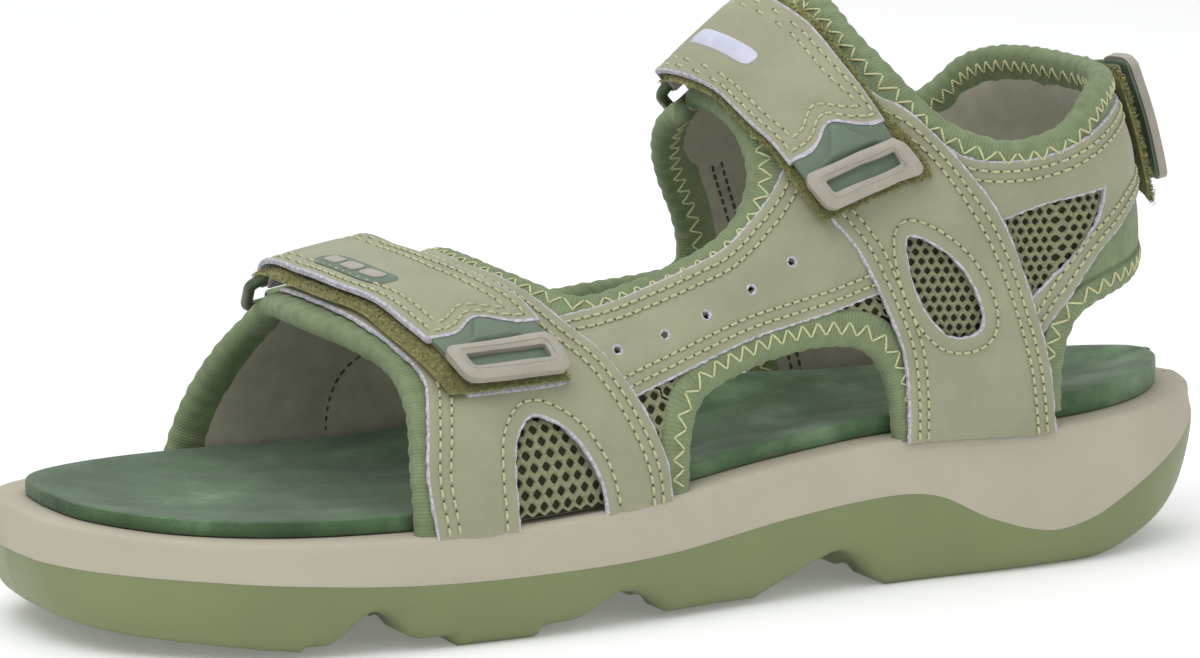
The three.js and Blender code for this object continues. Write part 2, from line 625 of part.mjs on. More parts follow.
// webbing of even thickness along a profile of [s, distance] points
function ribbon(strip, profile, thickness, columns, shares) {
  const sheet = (offset) => (i, j) => {
    const k = Math.round(i * (profile.length - 1));
    const [s0, d0] = profile[Math.max(k - 1, 0)];
    const [s1, d1] = profile[Math.min(k + 1, profile.length - 1)];
    const length = Math.hypot(s1 - s0, d1 - d0);
    const s = profile[k][0] - (d1 - d0) / length * offset;
    const distance = profile[k][1] + (s1 - s0) / length * offset;
    return strip.place(mix(shares[0], shares[1], j), s, distance);
  };
  return slab(profile.length - 1, columns, sheet(-thickness / 2), sheet(thickness / 2));
}

function flatRibbon(strip, from, to, layer, shares) {
  const level = (layer[0] + layer[1]) / 2;
  return ribbon(strip, levelRun(from, to, level), layer[1] - layer[0], 4, shares);
}

function makeStrap(strip) {
  const level = (STRAP[0] + STRAP[1]) / 2;
  const thickness = STRAP[1] - STRAP[0];
  const radius = RING_WIRE / 2 + FOLD_CLEARANCE + thickness / 2;
  const top = RING_LEVEL + radius;
  const climb = [0.3, 0.6].map((part) => [
    strip.length - RISE_LENGTH * (1 - part), mix(level, top, THREE.MathUtils.smoothstep(part, 0, 0.95))]);
  const fold = arc(strip.length, RING_LEVEL, radius, 90, -5, 5);
  const run = levelRun(STRAP_START, strip.length - RISE_LENGTH, level);
  return ribbon(strip, [...run, ...climb, ...fold], thickness, 4, [0, 1]);
}

function makeRingLoop(strip) {
  const far = strip.length + strip.reach;
  const thickness = ROOT[1] - ROOT[0];
  const level = (ROOT[0] + ROOT[1]) / 2;
  const radius = RING_WIRE * Math.SQRT1_2 + FOLD_CLEARANCE / 2 + thickness / 2;
  const under = [[far + LOOP_TAIL, level], [far + 7, level], [far + 2.5, level]];
  const round = arc(far, RING_LEVEL, radius, -90, -270, 6);
  const over = [[far + 3.5, RING_LEVEL + 1.6], [far + 7, level + 1.3], [far + LOOP_TAIL, level + 1.05]];
  return ribbon(strip, [...under, ...round, ...over], thickness, 2, [0.12, 0.88]);
}

function makeRing(strip) {
  const half = strip.width / 2 + 1.2;
  const wire = RING_WIRE;
  const corner = 2.2;
  const box = (grow, round) => {
    const [x, y0, y1] = [half + grow, wire / 2 - grow, strip.reach - wire / 2 + grow];
    const shape = new THREE.Shape();
    shape.moveTo(-x + round, y0);
    shape.lineTo(x - round, y0);
    shape.quadraticCurveTo(x, y0, x, y0 + round);
    shape.lineTo(x, y1 - round);
    shape.quadraticCurveTo(x, y1, x - round, y1);
    shape.lineTo(-x + round, y1);
    shape.quadraticCurveTo(-x, y1, -x, y1 - round);
    shape.lineTo(-x, y0 + round);
    shape.quadraticCurveTo(-x, y0, -x + round, y0);
    return shape.getPoints(3).map((p) => [p.x, p.y]).slice(0, -1);
  };
  const low = RING_LEVEL - wire / 2;
  return laidOutline(box(wire, corner + 1), [box(0, corner)], wire,
    (x, y, z) => strip.flat(0.5 + x / strip.width, strip.length + y, low + z));
}

// a flat trim piece on a strap: outline in shares of the width and millimetres along
function strapTrim(strip, outline, holes, low, high) {
  const depth = high - low;
  return laidOutline(outline, holes, depth, (share, s, z) => strip.place(share, s, low + z));
}

const TAB_FRAME = [[0.02, 6.2], [0.02, 1], [0.07, -1], [0.25, -1.2], [0.5, -1.2], [0.75, -1.2], [0.93, -1],
  [0.98, 1], [0.98, 6.2], [0.75, 6.4], [0.5, 6.4], [0.25, 6.4]];
const TAB_SLOT = [[0.17, 1.6], [0.17, 4.2], [0.4, 4.3], [0.6, 4.3], [0.83, 4.2], [0.83, 1.6],
  [0.6, 1.6], [0.4, 1.6]];
const BADGE = [STRAP[1] + 0.5, STRAP[1] + 1.3];
const REFLECTOR = [STRAP[1] + 0.5, STRAP[1] + 0.9];

for (const [name, outline] of Object.entries(STRIPS)) {
  const strip = makeStrip(outline);
  const end = strip.length;
  add(`${name}_root`, flatRibbon(strip, -2, end - ROOT_SHORT, ROOT, [0.02, 0.98]), 'leather');
  add(`${name}_pile_tape`, flatRibbon(strip, -3, end - 5, PILE, [-0.02, 1.02]), 'tape');
  add(`${name}_hook_tape`, flatRibbon(strip, 1, 26, HOOK, [0.06, 0.94]), 'board');
  add(`${name}_band`, makeStrap(strip), 'leather');
  add(`${name}_ring`, makeRing(strip), 'plastic');
  add(`${name}_ring_loop`, makeRingLoop(strip), 'binding');
  add(`${name}_tab_base`,
    flatRibbon(strip, -0.8, STRAP_START - 0.3, [STRAP[0], TAB_TOP], [0.03, 0.97]), 'tab');
  add(`${name}_tab_frame`, strapTrim(strip, TAB_FRAME, [TAB_SLOT], TAB_TOP + 0.7, FRAME_TOP), 'frame');
  if (name === 'front_strap') {
    add('front_strap_badge', flatRibbon(strip, 30, 50, BADGE, [0.16, 0.42]), 'frame');
  }
  if (name === 'instep_strap') {
    add('instep_strap_reflector', flatRibbon(strip, 20, 35, REFLECTOR, [0.2, 0.4]), 'silver');
  }
}

export default sandal;
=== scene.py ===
"""The looks of a left strappy sport sandal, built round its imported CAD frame.

The upper's pieces are drawn in flat girth coordinates (w along the foot and round the heel,
t up the wall from the feather line), the straps in (u across, s along), all in millimetres.
"""

import collections
import copy
import math

import bmesh
import bpy
import numpy as np
from mathutils import Matrix, Vector
from mathutils.geometry import delaunay_2d_cdt


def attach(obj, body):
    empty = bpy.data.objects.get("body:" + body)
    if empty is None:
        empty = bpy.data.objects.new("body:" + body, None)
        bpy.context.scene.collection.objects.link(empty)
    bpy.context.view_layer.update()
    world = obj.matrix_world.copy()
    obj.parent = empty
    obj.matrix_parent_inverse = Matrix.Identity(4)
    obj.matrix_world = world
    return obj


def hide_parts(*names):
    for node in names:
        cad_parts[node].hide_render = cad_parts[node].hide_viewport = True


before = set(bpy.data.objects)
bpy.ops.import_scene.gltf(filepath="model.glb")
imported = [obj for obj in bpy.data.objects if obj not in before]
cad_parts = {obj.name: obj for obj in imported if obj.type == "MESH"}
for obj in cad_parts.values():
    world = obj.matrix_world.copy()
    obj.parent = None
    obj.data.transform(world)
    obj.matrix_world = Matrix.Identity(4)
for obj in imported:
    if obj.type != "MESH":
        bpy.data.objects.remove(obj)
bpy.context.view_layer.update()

MM = 0.001
SOLE_BODY = "upper_and_sole"
LATERAL, MEDIAL = -1, 1
SIDES = {"lateral": LATERAL, "medial": MEDIAL}

# ---------- foot-form ----------
HEEL_START = 85                  # where the heel's round starts along the foot
HEEL_ARC = 30                    # the radius that girth round the heel is counted on
HEEL_SQUARE = 0.85               # squares off the round a little
BACK = HEEL_START + HEEL_ARC * math.pi / 2      # w at the middle of the heel's back
FEATHER_GAP = 0.4                # how far the midsole's rim lies below the feather line
SECTION_STEPS = 48
CHUNK = 12000                    # points worked out at a time
FRAME_STEP = 0.4                 # half the distance over which a surface's directions are taken
TINY = 1e-9


def through(knots):
    """Smooth curve through knots (x, y), flat outside them."""
    xs, ys = np.array(knots, float).T
    slopes = np.empty(len(xs))
    slopes[1:-1] = (ys[2:] - ys[:-2]) / (xs[2:] - xs[:-2])
    slopes[0] = (ys[1] - ys[0]) / (xs[1] - xs[0])
    slopes[-1] = (ys[-1] - ys[-2]) / (xs[-1] - xs[-2])

    def curve(value):
        x = np.clip(value, xs[0], xs[-1])
        i = np.clip(np.searchsorted(xs, x, side="right") - 1, 0, len(xs) - 2)
        span = xs[i + 1] - xs[i]
        t = (x - xs[i]) / span
        rise = t * t * (3 - 2 * t)
        lead = t * (1 - t) ** 2 * span * slopes[i]
        trail = t * t * (1 - t) * span * slopes[i + 1]
        return ys[i] * (1 - rise) + ys[i + 1] * rise + lead - trail

    return curve


feather_z = through([(-137, 27), (-110, 24.8), (-60, 24), (-20, 25.5), (20, 29.8), (50, 32), (85, 31),
                     (105, 31.5), (120, 32.4), (137, 34)])
wall_lateral = through([(-130, -12), (-120, -26), (-100, -37.5), (-72, -42.5), (-45, -43), (-15, -39.5),
                        (20, -34.5), (50, -31.5), (85, -30)])
wall_medial = through([(-130, 22), (-120, 32), (-95, 41.5), (-68, 43), (-38, 39.5), (-10, 33), (20, 28),
                       (50, 27), (85, 28)])
ridge_z = through([(-136, 30), (-110, 46), (-80, 56.5), (-60, 61.5), (-45, 64), (-25, 69.5), (-5, 78.5),
                   (10, 87.5), (25, 98), (34, 105.5), (43, 113), (52, 122), (65, 150), (75, 230), (85, 300)])
ridge_y = through([(-136, 14), (-60, 12), (-20, 11), (20, 9), (45, 5), (70, 0), (85, 0)])
heel_depth = through([(30, 28), (55, 29), (70, 30), (85, 27), (99, 22), (110, 18)])
FULLNESS = {LATERAL: (1.9, 2.0), MEDIAL: (2.1, 2.2)}


def sections(x, sides):
    """The wall's sections at each x: y, z and girth from the feather line to the ridge."""
    lateral = (sides < 0)[:, None]
    angle = np.linspace(0, math.pi / 2, SECTION_STEPS + 1)
    cos, sin = np.cos(angle), np.sin(angle)
    cos[-1] = 0
    out = np.where(lateral, cos ** (2 / FULLNESS[LATERAL][0]), cos ** (2 / FULLNESS[MEDIAL][0]))
    up = np.where(lateral, sin ** (2 / FULLNESS[LATERAL][1]), sin ** (2 / FULLNESS[MEDIAL][1]))
    wall = np.where(sides < 0, wall_lateral(x), wall_medial(x))[:, None]
    middle = ridge_y(x)[:, None]
    foot = feather_z(x)[:, None]
    y = middle + (wall - middle) * out
    z = foot + (ridge_z(x)[:, None] - foot) * up
    girth = np.zeros_like(y)
    girth[:, 1:] = np.cumsum(np.hypot(np.diff(y, axis=1), np.diff(z, axis=1)), axis=1)
    return y, z, girth


def form_chunk(w, t, side):
    """Points of the foot-form. Past the back, or over the ridge, they lie on the other side."""
    past = w > BACK
    w = np.where(past, 2 * BACK - w, w)
    sides = np.where(past, -side, side)
    x = np.minimum(w, HEEL_START)
    y, z, girth = sections(x, sides)
    over = t > girth[:, -1]
    if over.any():
        y2, z2, girth2 = sections(x[over], -sides[over])
        t = t.copy()
        t[over] = girth2[:, -1] - (t[over] - girth[over, -1])
        y[over], z[over], girth[over] = y2, z2, girth2
    row = np.arange(len(w))
    i = np.clip((girth < t[:, None]).sum(1), 1, SECTION_STEPS)
    part = np.maximum((t - girth[row, i - 1]) / (girth[row, i] - girth[row, i - 1]), 0)
    py = y[row, i - 1] + (y[row, i] - y[row, i - 1]) * part
    pz = z[row, i - 1] + (z[row, i] - z[row, i - 1]) * part + np.minimum(t, 0)
    angle = np.maximum(w - HEEL_START, 0) / HEEL_ARC
    px = x + heel_depth(pz) * np.sin(angle) ** HEEL_SQUARE
    return np.stack([px, py * np.maximum(np.cos(angle), 0) ** HEEL_SQUARE, pz], 1)


def form(w, t, side):
    """Points of the foot-form at girth coordinates of any shape."""
    w, t = np.broadcast_arrays(np.asarray(w, float), np.asarray(t, float))
    shape = w.shape
    w, t = w.ravel(), t.ravel()
    parts = [form_chunk(w[a:a + CHUNK], t[a:a + CHUNK], side) for a in range(0, len(w), CHUNK)]
    return np.concatenate(parts).reshape(shape + (3,))


def unit(v):
    return v / (np.linalg.norm(v, axis=-1, keepdims=True) + 1e-12)


def leftward(v):
    """Flat vectors turned a quarter to their left."""
    return np.stack([-v[:, 1], v[:, 0]], 1)


class Wall:
    """The upper's surface on one side: frame(w, t) is a point of the foot-form and the way out."""

    def __init__(self, side):
        self.side = side

    def frame(self, w, t):
        w, t = np.asarray(w, float), np.asarray(t, float)
        along = form(w + FRAME_STEP, t, self.side) - form(w - FRAME_STEP, t, self.side)
        up = form(w, t + FRAME_STEP, self.side) - form(w, t - FRAME_STEP, self.side)
        return form(w, t, self.side), unit(np.cross(along, up) * -self.side)


# ---------- lines in the flat ----------
SPAN_POINTS = 14
OUTLINE_STEP = 0.9
ROW_STEP = 0.8
SAME_POINT = 0.05                # ends closer than this are one point
SPANS_AT_A_TIME = 200
STAGGER = 0.866                  # the height of a row of equilateral triangles


def spline(knots, per_span=SPAN_POINTS):
    """Dense points of a smooth line through knots."""
    p = np.array(knots, float)
    if len(p) == 2:
        return p[0] + (p[1] - p[0]) * np.linspace(0, 1, per_span)[:, None]
    before = np.concatenate([p[:1], p[:-1]])
    after = np.concatenate([p[1:], p[-1:]])
    slope = (after - before) / 2
    t = np.arange(per_span)[:, None] / per_span
    spans = []
    for a, b, va, vb in zip(p[:-1], p[1:], slope[:-1], slope[1:]):
        spans.append((2 * a - 2 * b + va + vb) * t**3 + (3 * b - 3 * a - 2 * va - vb) * t**2 + va * t + a)
    return np.concatenate(spans + [p[-1:]])


def spaced(points, step):
    """The same open line with points about one step apart."""
    length = np.concatenate([[0], np.cumsum(np.linalg.norm(np.diff(points, axis=0), axis=1))])
    count = max(int(round(length[-1] / step)), 1)
    at = np.linspace(0, length[-1], count + 1)
    return np.stack([np.interp(at, length, points[:, k]) for k in range(points.shape[1])], 1)


def offset(line, amount):
    """The line moved to its left."""
    return line + leftward(unit(np.gradient(line, axis=0))) * np.asarray(amount)[..., None]


def ring_line(knots, step=OUTLINE_STEP):
    """A smooth closed line."""
    p = list(knots)
    dense = spline(p[-2:] + p + p[:2], SPAN_POINTS)[2 * SPAN_POINTS:-SPAN_POINTS]
    return spaced(dense, step)[:-1]


def joined(runs):
    """A closed outline of several smooth runs, with a corner at each join."""
    parts = []
    for k, run in enumerate(runs):
        line = spaced(spline(run), OUTLINE_STEP)
        ends = np.array([line[-1], runs[(k + 1) % len(runs)][0]])
        gap = np.hypot(*(ends[0] - ends[1]))
        if gap < SAME_POINT:
            line = line[:-1]
        elif gap >= OUTLINE_STEP:
            line = np.concatenate([line[:-1], spaced(ends, OUTLINE_STEP)[:-1]])
        parts.append(line)
    return np.concatenate(parts)


def inside(points, outline):
    """Which points lie inside a closed outline."""
    x, y = points[:, 0][:, None], points[:, 1][:, None]
    ax, ay = outline[:, 0], outline[:, 1]
    bx, by = np.roll(ax, -1), np.roll(ay, -1)
    crosses = (ay > y) != (by > y)
    rise = np.where(by == ay, TINY, by - ay)
    return (crosses & (x < (bx - ax) * (y - ay) / rise + ax)).sum(1) % 2 == 1


def distance_to(points, line, closed=False):
    """Each point's distance from a line, worked out for some of the line's spans at a time."""
    a = line if closed else line[:-1]
    b = np.roll(line, -1, axis=0) if closed else line[1:]
    d = b - a
    length = (d * d).sum(1) + 1e-12
    best = np.full(len(points), np.inf)
    for start in range(0, len(a), SPANS_AT_A_TIME):
        some = slice(start, start + SPANS_AT_A_TIME)
        rel = points[:, None] - a[some][None]
        part = np.clip((rel * d[some][None]).sum(2) / length[some], 0, 1)
        gap = rel - d[some][None] * part[..., None]
        best = np.minimum(best, np.sqrt((gap * gap).sum(2)).min(1))
    return best


def nearest(points, lines, closed=False):
    """Each point's distance from the nearest of several lines."""
    return np.minimum.reduce([distance_to(points, line, closed) for line in lines])


def staggered(outline, spacing, margin=0):
    """Points of a staggered grid over an outline's box."""
    low, high = outline.min(0), outline.max(0) + margin
    xs = np.arange(low[0], high[0], spacing)
    ys = np.arange(low[1], high[1], spacing * STAGGER)
    gx, gy = np.meshgrid(xs, ys)
    gx = gx + (np.arange(len(ys)) % 2)[:, None] * spacing / 2
    return np.stack([gx.ravel(), gy.ravel()], 1)


# ---------- meshes ----------
def piece(name, points, faces, materials, body=SOLE_BODY, replaces=(), lay=None,
          indices=None, merge=0.0, outward=True):
    """A mesh object from points in millimetres, riding on a body."""
    mesh = bpy.data.meshes.new(name)
    mesh.from_pydata((np.asarray(points) * MM).tolist(), [], [list(map(int, f)) for f in faces])
    for material in materials:
        mesh.materials.append(material)
    if indices is not None:
        mesh.polygons.foreach_set("material_index", np.asarray(indices, np.int32))
    if lay is not None:
        attribute = mesh.attributes.new("lay", "FLOAT_VECTOR", "POINT")
        attribute.data.foreach_set("vector", np.asarray(lay, np.float32).ravel())
    if merge or outward:
        edit = bmesh.new()
        edit.from_mesh(mesh)
        if merge:
            bmesh.ops.remove_doubles(edit, verts=edit.verts, dist=merge * MM)
        if outward:
            bmesh.ops.recalc_face_normals(edit, faces=edit.faces)
        edit.to_mesh(mesh)
        edit.free()
    mesh.polygons.foreach_set("use_smooth", [True] * len(mesh.polygons))
    mesh.update()
    made = bpy.data.objects.new(name, mesh)
    bpy.context.scene.collection.objects.link(made)
    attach(made, body)
    if replaces:
        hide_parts(*replaces)
    return made


def grid_faces(rows, columns, start=0, closed_rows=False, closed_columns=False):
    """Quads of a grid with rows x columns points."""
    i = np.arange(rows if closed_rows else rows - 1)[:, None]
    j = np.arange(columns if closed_columns else columns - 1)[None]
    i2, j2 = (i + 1) % rows, (j + 1) % columns
    quads = np.stack([i * columns + j, i2 * columns + j, i2 * columns + j2, i * columns + j2], -1)
    return (quads.reshape(-1, 4) + start).tolist()


def repeated(faces, block, count):
    """The faces of one small shape, for count copies of its block of points."""
    return [[v + n * block for v in face] for n in range(count) for face in faces]


def slab_faces(rows, columns):
    """The faces of two equal grids joined by walls: the first's, the second's, the walls', and the rim."""
    size = rows * columns
    first = grid_faces(rows, columns)
    second = [[v + size for v in face[::-1]] for face in first]
    rim = (list(range(columns)) + [i * columns + columns - 1 for i in range(1, rows)]
           + [(rows - 1) * columns + j for j in range(columns - 2, -1, -1)]
           + [i * columns for i in range(rows - 2, 0, -1)])
    walls = [[a, b, b + size, a + size] for a, b in zip(rim, rim[1:] + rim[:1])]
    return first, second, walls, rim


def around(first, second, sides):
    """For each pair of directions, the points of a unit circle in their plane."""
    turn = np.arange(sides) / sides * 2 * math.pi
    return first[:, None] * np.cos(turn)[None, :, None] + second[:, None] * np.sin(turn)[None, :, None]


def crisp(obj, degrees=50):
    """Keeps sharp edges sharp under smooth shading."""
    obj.data.set_sharp_from_angle(angle=math.radians(degrees))
    return obj


def fill_flat(outline, holes, spacing):
    """Flat points and triangles that fill an outline with holes."""
    loops = [outline] + holes
    inner = staggered(outline, spacing)
    inner = inner[inside(inner, outline)]
    for loop in loops:
        inner = inner[distance_to(inner, loop, True) > spacing * 0.55]
    for hole in holes:
        inner = inner[~inside(inner, hole)]
    edges, start = [], 0
    for loop in loops:
        edges += [(start + k, start + (k + 1) % len(loop)) for k in range(len(loop))]
        start += len(loop)
    points = np.concatenate(loops + [inner])
    result = delaunay_2d_cdt([Vector(p) for p in points], edges, [], 0, 1e-5)
    flat = np.array([tuple(v) for v in result[0]])
    triangles = np.array([f for f in result[2] if len(f) == 3])
    centre = flat[triangles].mean(1)
    keep = inside(centre, outline)
    for hole in holes:
        keep &= ~inside(centre, hole)
    triangles = triangles[keep]
    used = np.unique(triangles)
    renumber = np.full(len(flat), -1)
    renumber[used] = np.arange(len(used))
    return flat[used], renumber[triangles]


def rim_sides(triangles):
    """The sides that belong to one triangle only, each in that triangle's direction."""
    sides = np.concatenate([triangles[:, [0, 1]], triangles[:, [1, 2]], triangles[:, [2, 0]]]).tolist()
    owners = collections.Counter((min(side), max(side)) for side in sides)
    return [side for side in sides if owners[(min(side), max(side))] == 1]


def off_the_rim(flat, rim):
    """The flat way out of a sheet at the points of its rim."""
    away = np.zeros_like(flat)
    for a, b in rim:
        side_way = -leftward(flat[[b]] - flat[[a]])[0]
        side_way /= np.linalg.norm(side_way) + TINY
        away[a] += side_way
        away[b] += side_way
    return unit(away)


RAW_EDGE = 0.42                  # how far the raw edge of leather stands out
MOULDED_EDGE = 0.12              # the same of a moulded edge
FRAYED = 0.3                     # an edge that stands out further than this is uneven
NO_TUCK = -99                    # lower than any piece


def cut_sheet(name, surface, outline, holes, low, high, materials, relief=None, spacing=1.3, soft=0.15,
              body=SOLE_BODY, replaces=(), slot=None, raw=RAW_EDGE, tucked=NO_TUCK):
    """Sheet material cut to an outline with holes, from the level low to high.

    Its top has the first material, its back and its cut edges the second. Cut edges below the
    height tucked have the first, because they are hidden behind the midsole's rim.
    """
    flat, triangles = fill_flat(outline, holes, spacing)
    rim = rim_sides(triangles)
    rim_ids = np.unique(rim)
    count, more = len(flat), len(rim_ids)
    rim_row = np.full(count, -1)
    rim_row[rim_ids] = np.arange(more)
    base, out = surface.frame(flat[:, 0], flat[:, 1])
    high_at = np.full(count, float(high)) if relief is None else high + relief(flat)
    eased = soft * np.clip(1 - nearest(flat, [outline] + holes, True), 0, 1) ** 2
    top = base + out * (high_at - eased)[:, None]
    bottom = base + out * low
    fray = np.ones(more)
    if raw > FRAYED:
        fray += 0.25 * np.sin(flat[rim_ids] @ (2.1, 1.3)) + 0.2 * np.sin(flat[rim_ids] @ (-3.7, 4.3))
    wide = flat[rim_ids] + off_the_rim(flat, rim)[rim_ids] * (raw * fray)[:, None]
    rim_base, rim_out = surface.frame(wide[:, 0], wide[:, 1])
    shoulder = rim_base + rim_out * (high_at[rim_ids] - soft - raw * 0.5)[:, None]
    foot = rim_base + rim_out * low
    lay_top = np.concatenate([flat, np.zeros((count, 1))], 1)
    lay = np.concatenate([lay_top, lay_top, lay_top[rim_ids], lay_top[rim_ids]])
    faces = triangles.tolist() + (triangles[:, ::-1] + count).tolist()
    index = [0] * len(triangles) + [1] * len(triangles)
    for a, b in rim:
        ra, rb = 2 * count + rim_row[a], 2 * count + rim_row[b]
        faces += [[b, a, ra, rb],
                  [rb, ra, ra + more, rb + more],
                  [rb + more, ra + more, a + count, b + count]]
        index += [int(max(flat[a][1], flat[b][1]) > tucked)] * 3
    points = np.concatenate([top, bottom, shoulder, foot])
    return crisp(piece(name, points, faces, materials, body, replaces, lay, index, outward=False))


STITCH_PITCH = 2.15
STITCH_LENGTH = 1.72
ZIGZAG_PITCH = 3.4
THREAD_SIDES = 6
# a stitch's stations: (share of its length, lift out of the surface, share of the thread's radius)
THREAD_STATIONS = [(-0.5, -0.3, 0.5), (-0.4, 0.0, 0.9), (-0.15, 0.12, 1.0),
                   (0.15, 0.12, 1.0), (0.4, 0.0, 0.9), (0.5, -0.3, 0.5)]
THREAD_LAY = 2.4                 # millimetres of thread that its twist is drawn along
HOLE_SIDES = 7
HOLE_RADIUS = 0.24
HOLE_AHEAD = 0.27                # a hole's middle lies this far past the end of its stitch
ZIGZAG_RADIUS = 0.24


def threads(name, stitches, material, body=SOLE_BODY, radius=0.3):
    """Stitches as short sunk threads: each is (centre, along, out, length)."""
    centre, along, out, length = (np.concatenate(part) for part in zip(*stitches))
    steps, lift, thick = np.array(THREAD_STATIONS).T
    across = around(out, unit(np.cross(along, out)), THREAD_SIDES)[:, None]
    points = (centre[:, None, None]
              + along[:, None, None] * (steps[None, :, None, None] * length[..., None, None])
              + out[:, None, None] * lift[None, :, None, None]
              + across * (thick * radius)[None, :, None, None])
    stations, count = len(steps), len(centre)
    one = grid_faces(stations, THREAD_SIDES, closed_columns=True)
    one.append(list(range(THREAD_SIDES))[::-1])
    one.append([(stations - 1) * THREAD_SIDES + k for k in range(THREAD_SIDES)])
    block = stations * THREAD_SIDES
    lay = np.zeros((count * block, 3))
    lay[:, 0] = np.tile(np.repeat(steps * THREAD_LAY, THREAD_SIDES), count)
    return piece(name, points.reshape(-1, 3), repeated(one, block, count), [material], body, lay=lay,
                 outward=False)


def needle_holes(name, stitches, material, body=SOLE_BODY):
    """A shallow dish between each stitch and the next, coloured dark as painted shade of the pricked hole."""
    centre, along, out, length = (np.concatenate(part) for part in zip(*stitches))
    middle = centre + along * (length / 2 + HOLE_AHEAD)
    across = around(along, unit(np.cross(along, out)), HOLE_SIDES)
    rim = middle[:, None] + out[:, None] * 0.05 + across * HOLE_RADIUS
    points = np.concatenate([rim, (middle - out * 0.2)[:, None]], 1)
    one = [[k, (k + 1) % HOLE_SIDES, HOLE_SIDES] for k in range(HOLE_SIDES)]
    faces = repeated(one, HOLE_SIDES + 1, len(centre))
    return piece(name, points.reshape(-1, 3), faces, [material], body, outward=False)


def dashes(surface, line, level, inwards=False):
    """Stitches along a flat line."""
    fine = spaced(line, STITCH_PITCH / 2)
    last = (len(fine) - 1) // 2 * 2
    base, out = surface.frame(*fine.T)
    at = base + out * level
    along = unit(at[2:last + 1:2] - at[0:last:2])
    middle, way = at[1:last:2], out[1:last:2]
    return middle, along, -way if inwards else way, np.full((len(middle), 1), STITCH_LENGTH)


def zigzag(surface, line, inner, outer, level, inwards=False):
    """Zigzag stitches between two offsets of a flat line."""
    fine = spaced(line, ZIGZAG_PITCH / 2)
    sway = np.where(np.arange(len(fine)) % 2 == 0, inner, outer)
    base, out = surface.frame(*offset(fine, sway).T)
    at = base + out * level
    leg = at[1:] - at[:-1]
    size = np.linalg.norm(leg, axis=1, keepdims=True)
    way = unit(out[1:] + out[:-1])
    return (at[1:] + at[:-1]) / 2, leg / size, -way if inwards else way, size * 0.98


def tube(name, path, radius, material, body, sides, up, replaces=()):
    """A round bar along a closed path."""
    ahead = unit(np.roll(path, -1, 0) - np.roll(path, 1, 0))
    across = unit(np.cross(ahead, up))
    points = path[:, None] + around(across, np.cross(across, ahead), sides) * radius
    faces = grid_faces(len(path), sides, closed_rows=True, closed_columns=True)
    return piece(name, points.reshape(-1, 3), faces, [material], body, replaces)


# ---------- materials ----------
def srgb(r, g, b):
    """A colour given in 0-255 display values, as the shader wants it."""
    linear = [(c / 255 / 12.92) if c <= 10 else ((c / 255 + 0.055) / 1.055) ** 2.4 for c in (r, g, b)]
    return (*linear, 1)


class Shader:
    """A Principled material with a few node helpers. Sizes are in millimetres."""

    def __init__(self, name, roughness=0.6, **fixed):
        self.material = bpy.data.materials.new(name)
        self.material.use_nodes = True
        self.nodes = self.material.node_tree.nodes
        self.links = self.material.node_tree.links
        self.shader = self.nodes["Principled BSDF"]
        self.shader.inputs["Roughness"].default_value = roughness
        for socket, value in fixed.items():
            self.shader.inputs[socket.replace("_", " ")].default_value = value
        self.place = self.nodes.new("ShaderNodeTexCoord").outputs["Object"]
        self.normal = None

    def part(self, vector, axis):
        """One coordinate of a vector."""
        node = self.nodes.new("ShaderNodeSeparateXYZ")
        self.links.new(vector, node.inputs[0])
        return node.outputs[axis]

    def noise(self, size, detail=3, roughness=0.55):
        node = self.nodes.new("ShaderNodeTexNoise")
        node.inputs["Scale"].default_value = 1 / (size * MM)
        node.inputs["Detail"].default_value = detail
        node.inputs["Roughness"].default_value = roughness
        self.links.new(self.place, node.inputs["Vector"])
        return node.outputs["Fac"]

    def cells(self, size):
        node = self.nodes.new("ShaderNodeTexVoronoi")
        node.inputs["Scale"].default_value = 1 / (size * MM)
        self.links.new(self.place, node.inputs["Vector"])
        return node.outputs["Distance"]

    def math(self, operation, *values):
        node = self.nodes.new("ShaderNodeMath")
        node.operation = operation
        for socket, value in zip(node.inputs, values):
            if isinstance(value, (int, float)):
                socket.default_value = value
            else:
                self.links.new(value, socket)
        return node.outputs[0]

    def ribs(self, axis, pitch):
        """A wave across one coordinate of the piece's own layout."""
        node = self.nodes.new("ShaderNodeAttribute")
        node.attribute_name = "lay"
        turned = self.math("MULTIPLY", self.part(node.outputs["Vector"], axis), 2 * math.pi / pitch)
        return self.math("SINE", turned)

    def tint(self, value, stops):
        """The colour follows a value through stops of (value, colour)."""
        node = self.nodes.new("ShaderNodeValToRGB")
        ramp = node.color_ramp
        while len(ramp.elements) < len(stops):
            ramp.elements.new(0.5)
        for element, (at, colour) in zip(ramp.elements, stops):
            element.position = at
            element.color = colour
        self.links.new(value, node.inputs["Fac"])
        self.links.new(node.outputs["Color"], self.shader.inputs["Base Color"])

    def shade(self, value, colour, spread, low=0.3, high=0.7):
        """The colour follows a value, from a darker to a lighter neighbour of one colour."""
        dark = tuple(c * (1 - spread) for c in colour[:3]) + (1,)
        light = tuple(min(c * (1 + spread), 1) for c in colour[:3]) + (1,)
        self.tint(value, [(low, dark), (high, light)])

    def rough(self, value, low, high):
        node = self.nodes.new("ShaderNodeMapRange")
        node.inputs["To Min"].default_value = low
        node.inputs["To Max"].default_value = high
        self.links.new(value, node.inputs["Value"])
        self.links.new(node.outputs[0], self.shader.inputs["Roughness"])

    def bump(self, height, depth, strength):
        """Adds a relief on top of those added before."""
        node = self.nodes.new("ShaderNodeBump")
        node.inputs["Distance"].default_value = depth * MM
        node.inputs["Strength"].default_value = strength
        self.links.new(height, node.inputs["Height"])
        if self.normal:
            self.links.new(self.normal, node.inputs["Normal"])
        self.normal = node.outputs["Normal"]
        self.links.new(self.normal, self.shader.inputs["Normal"])


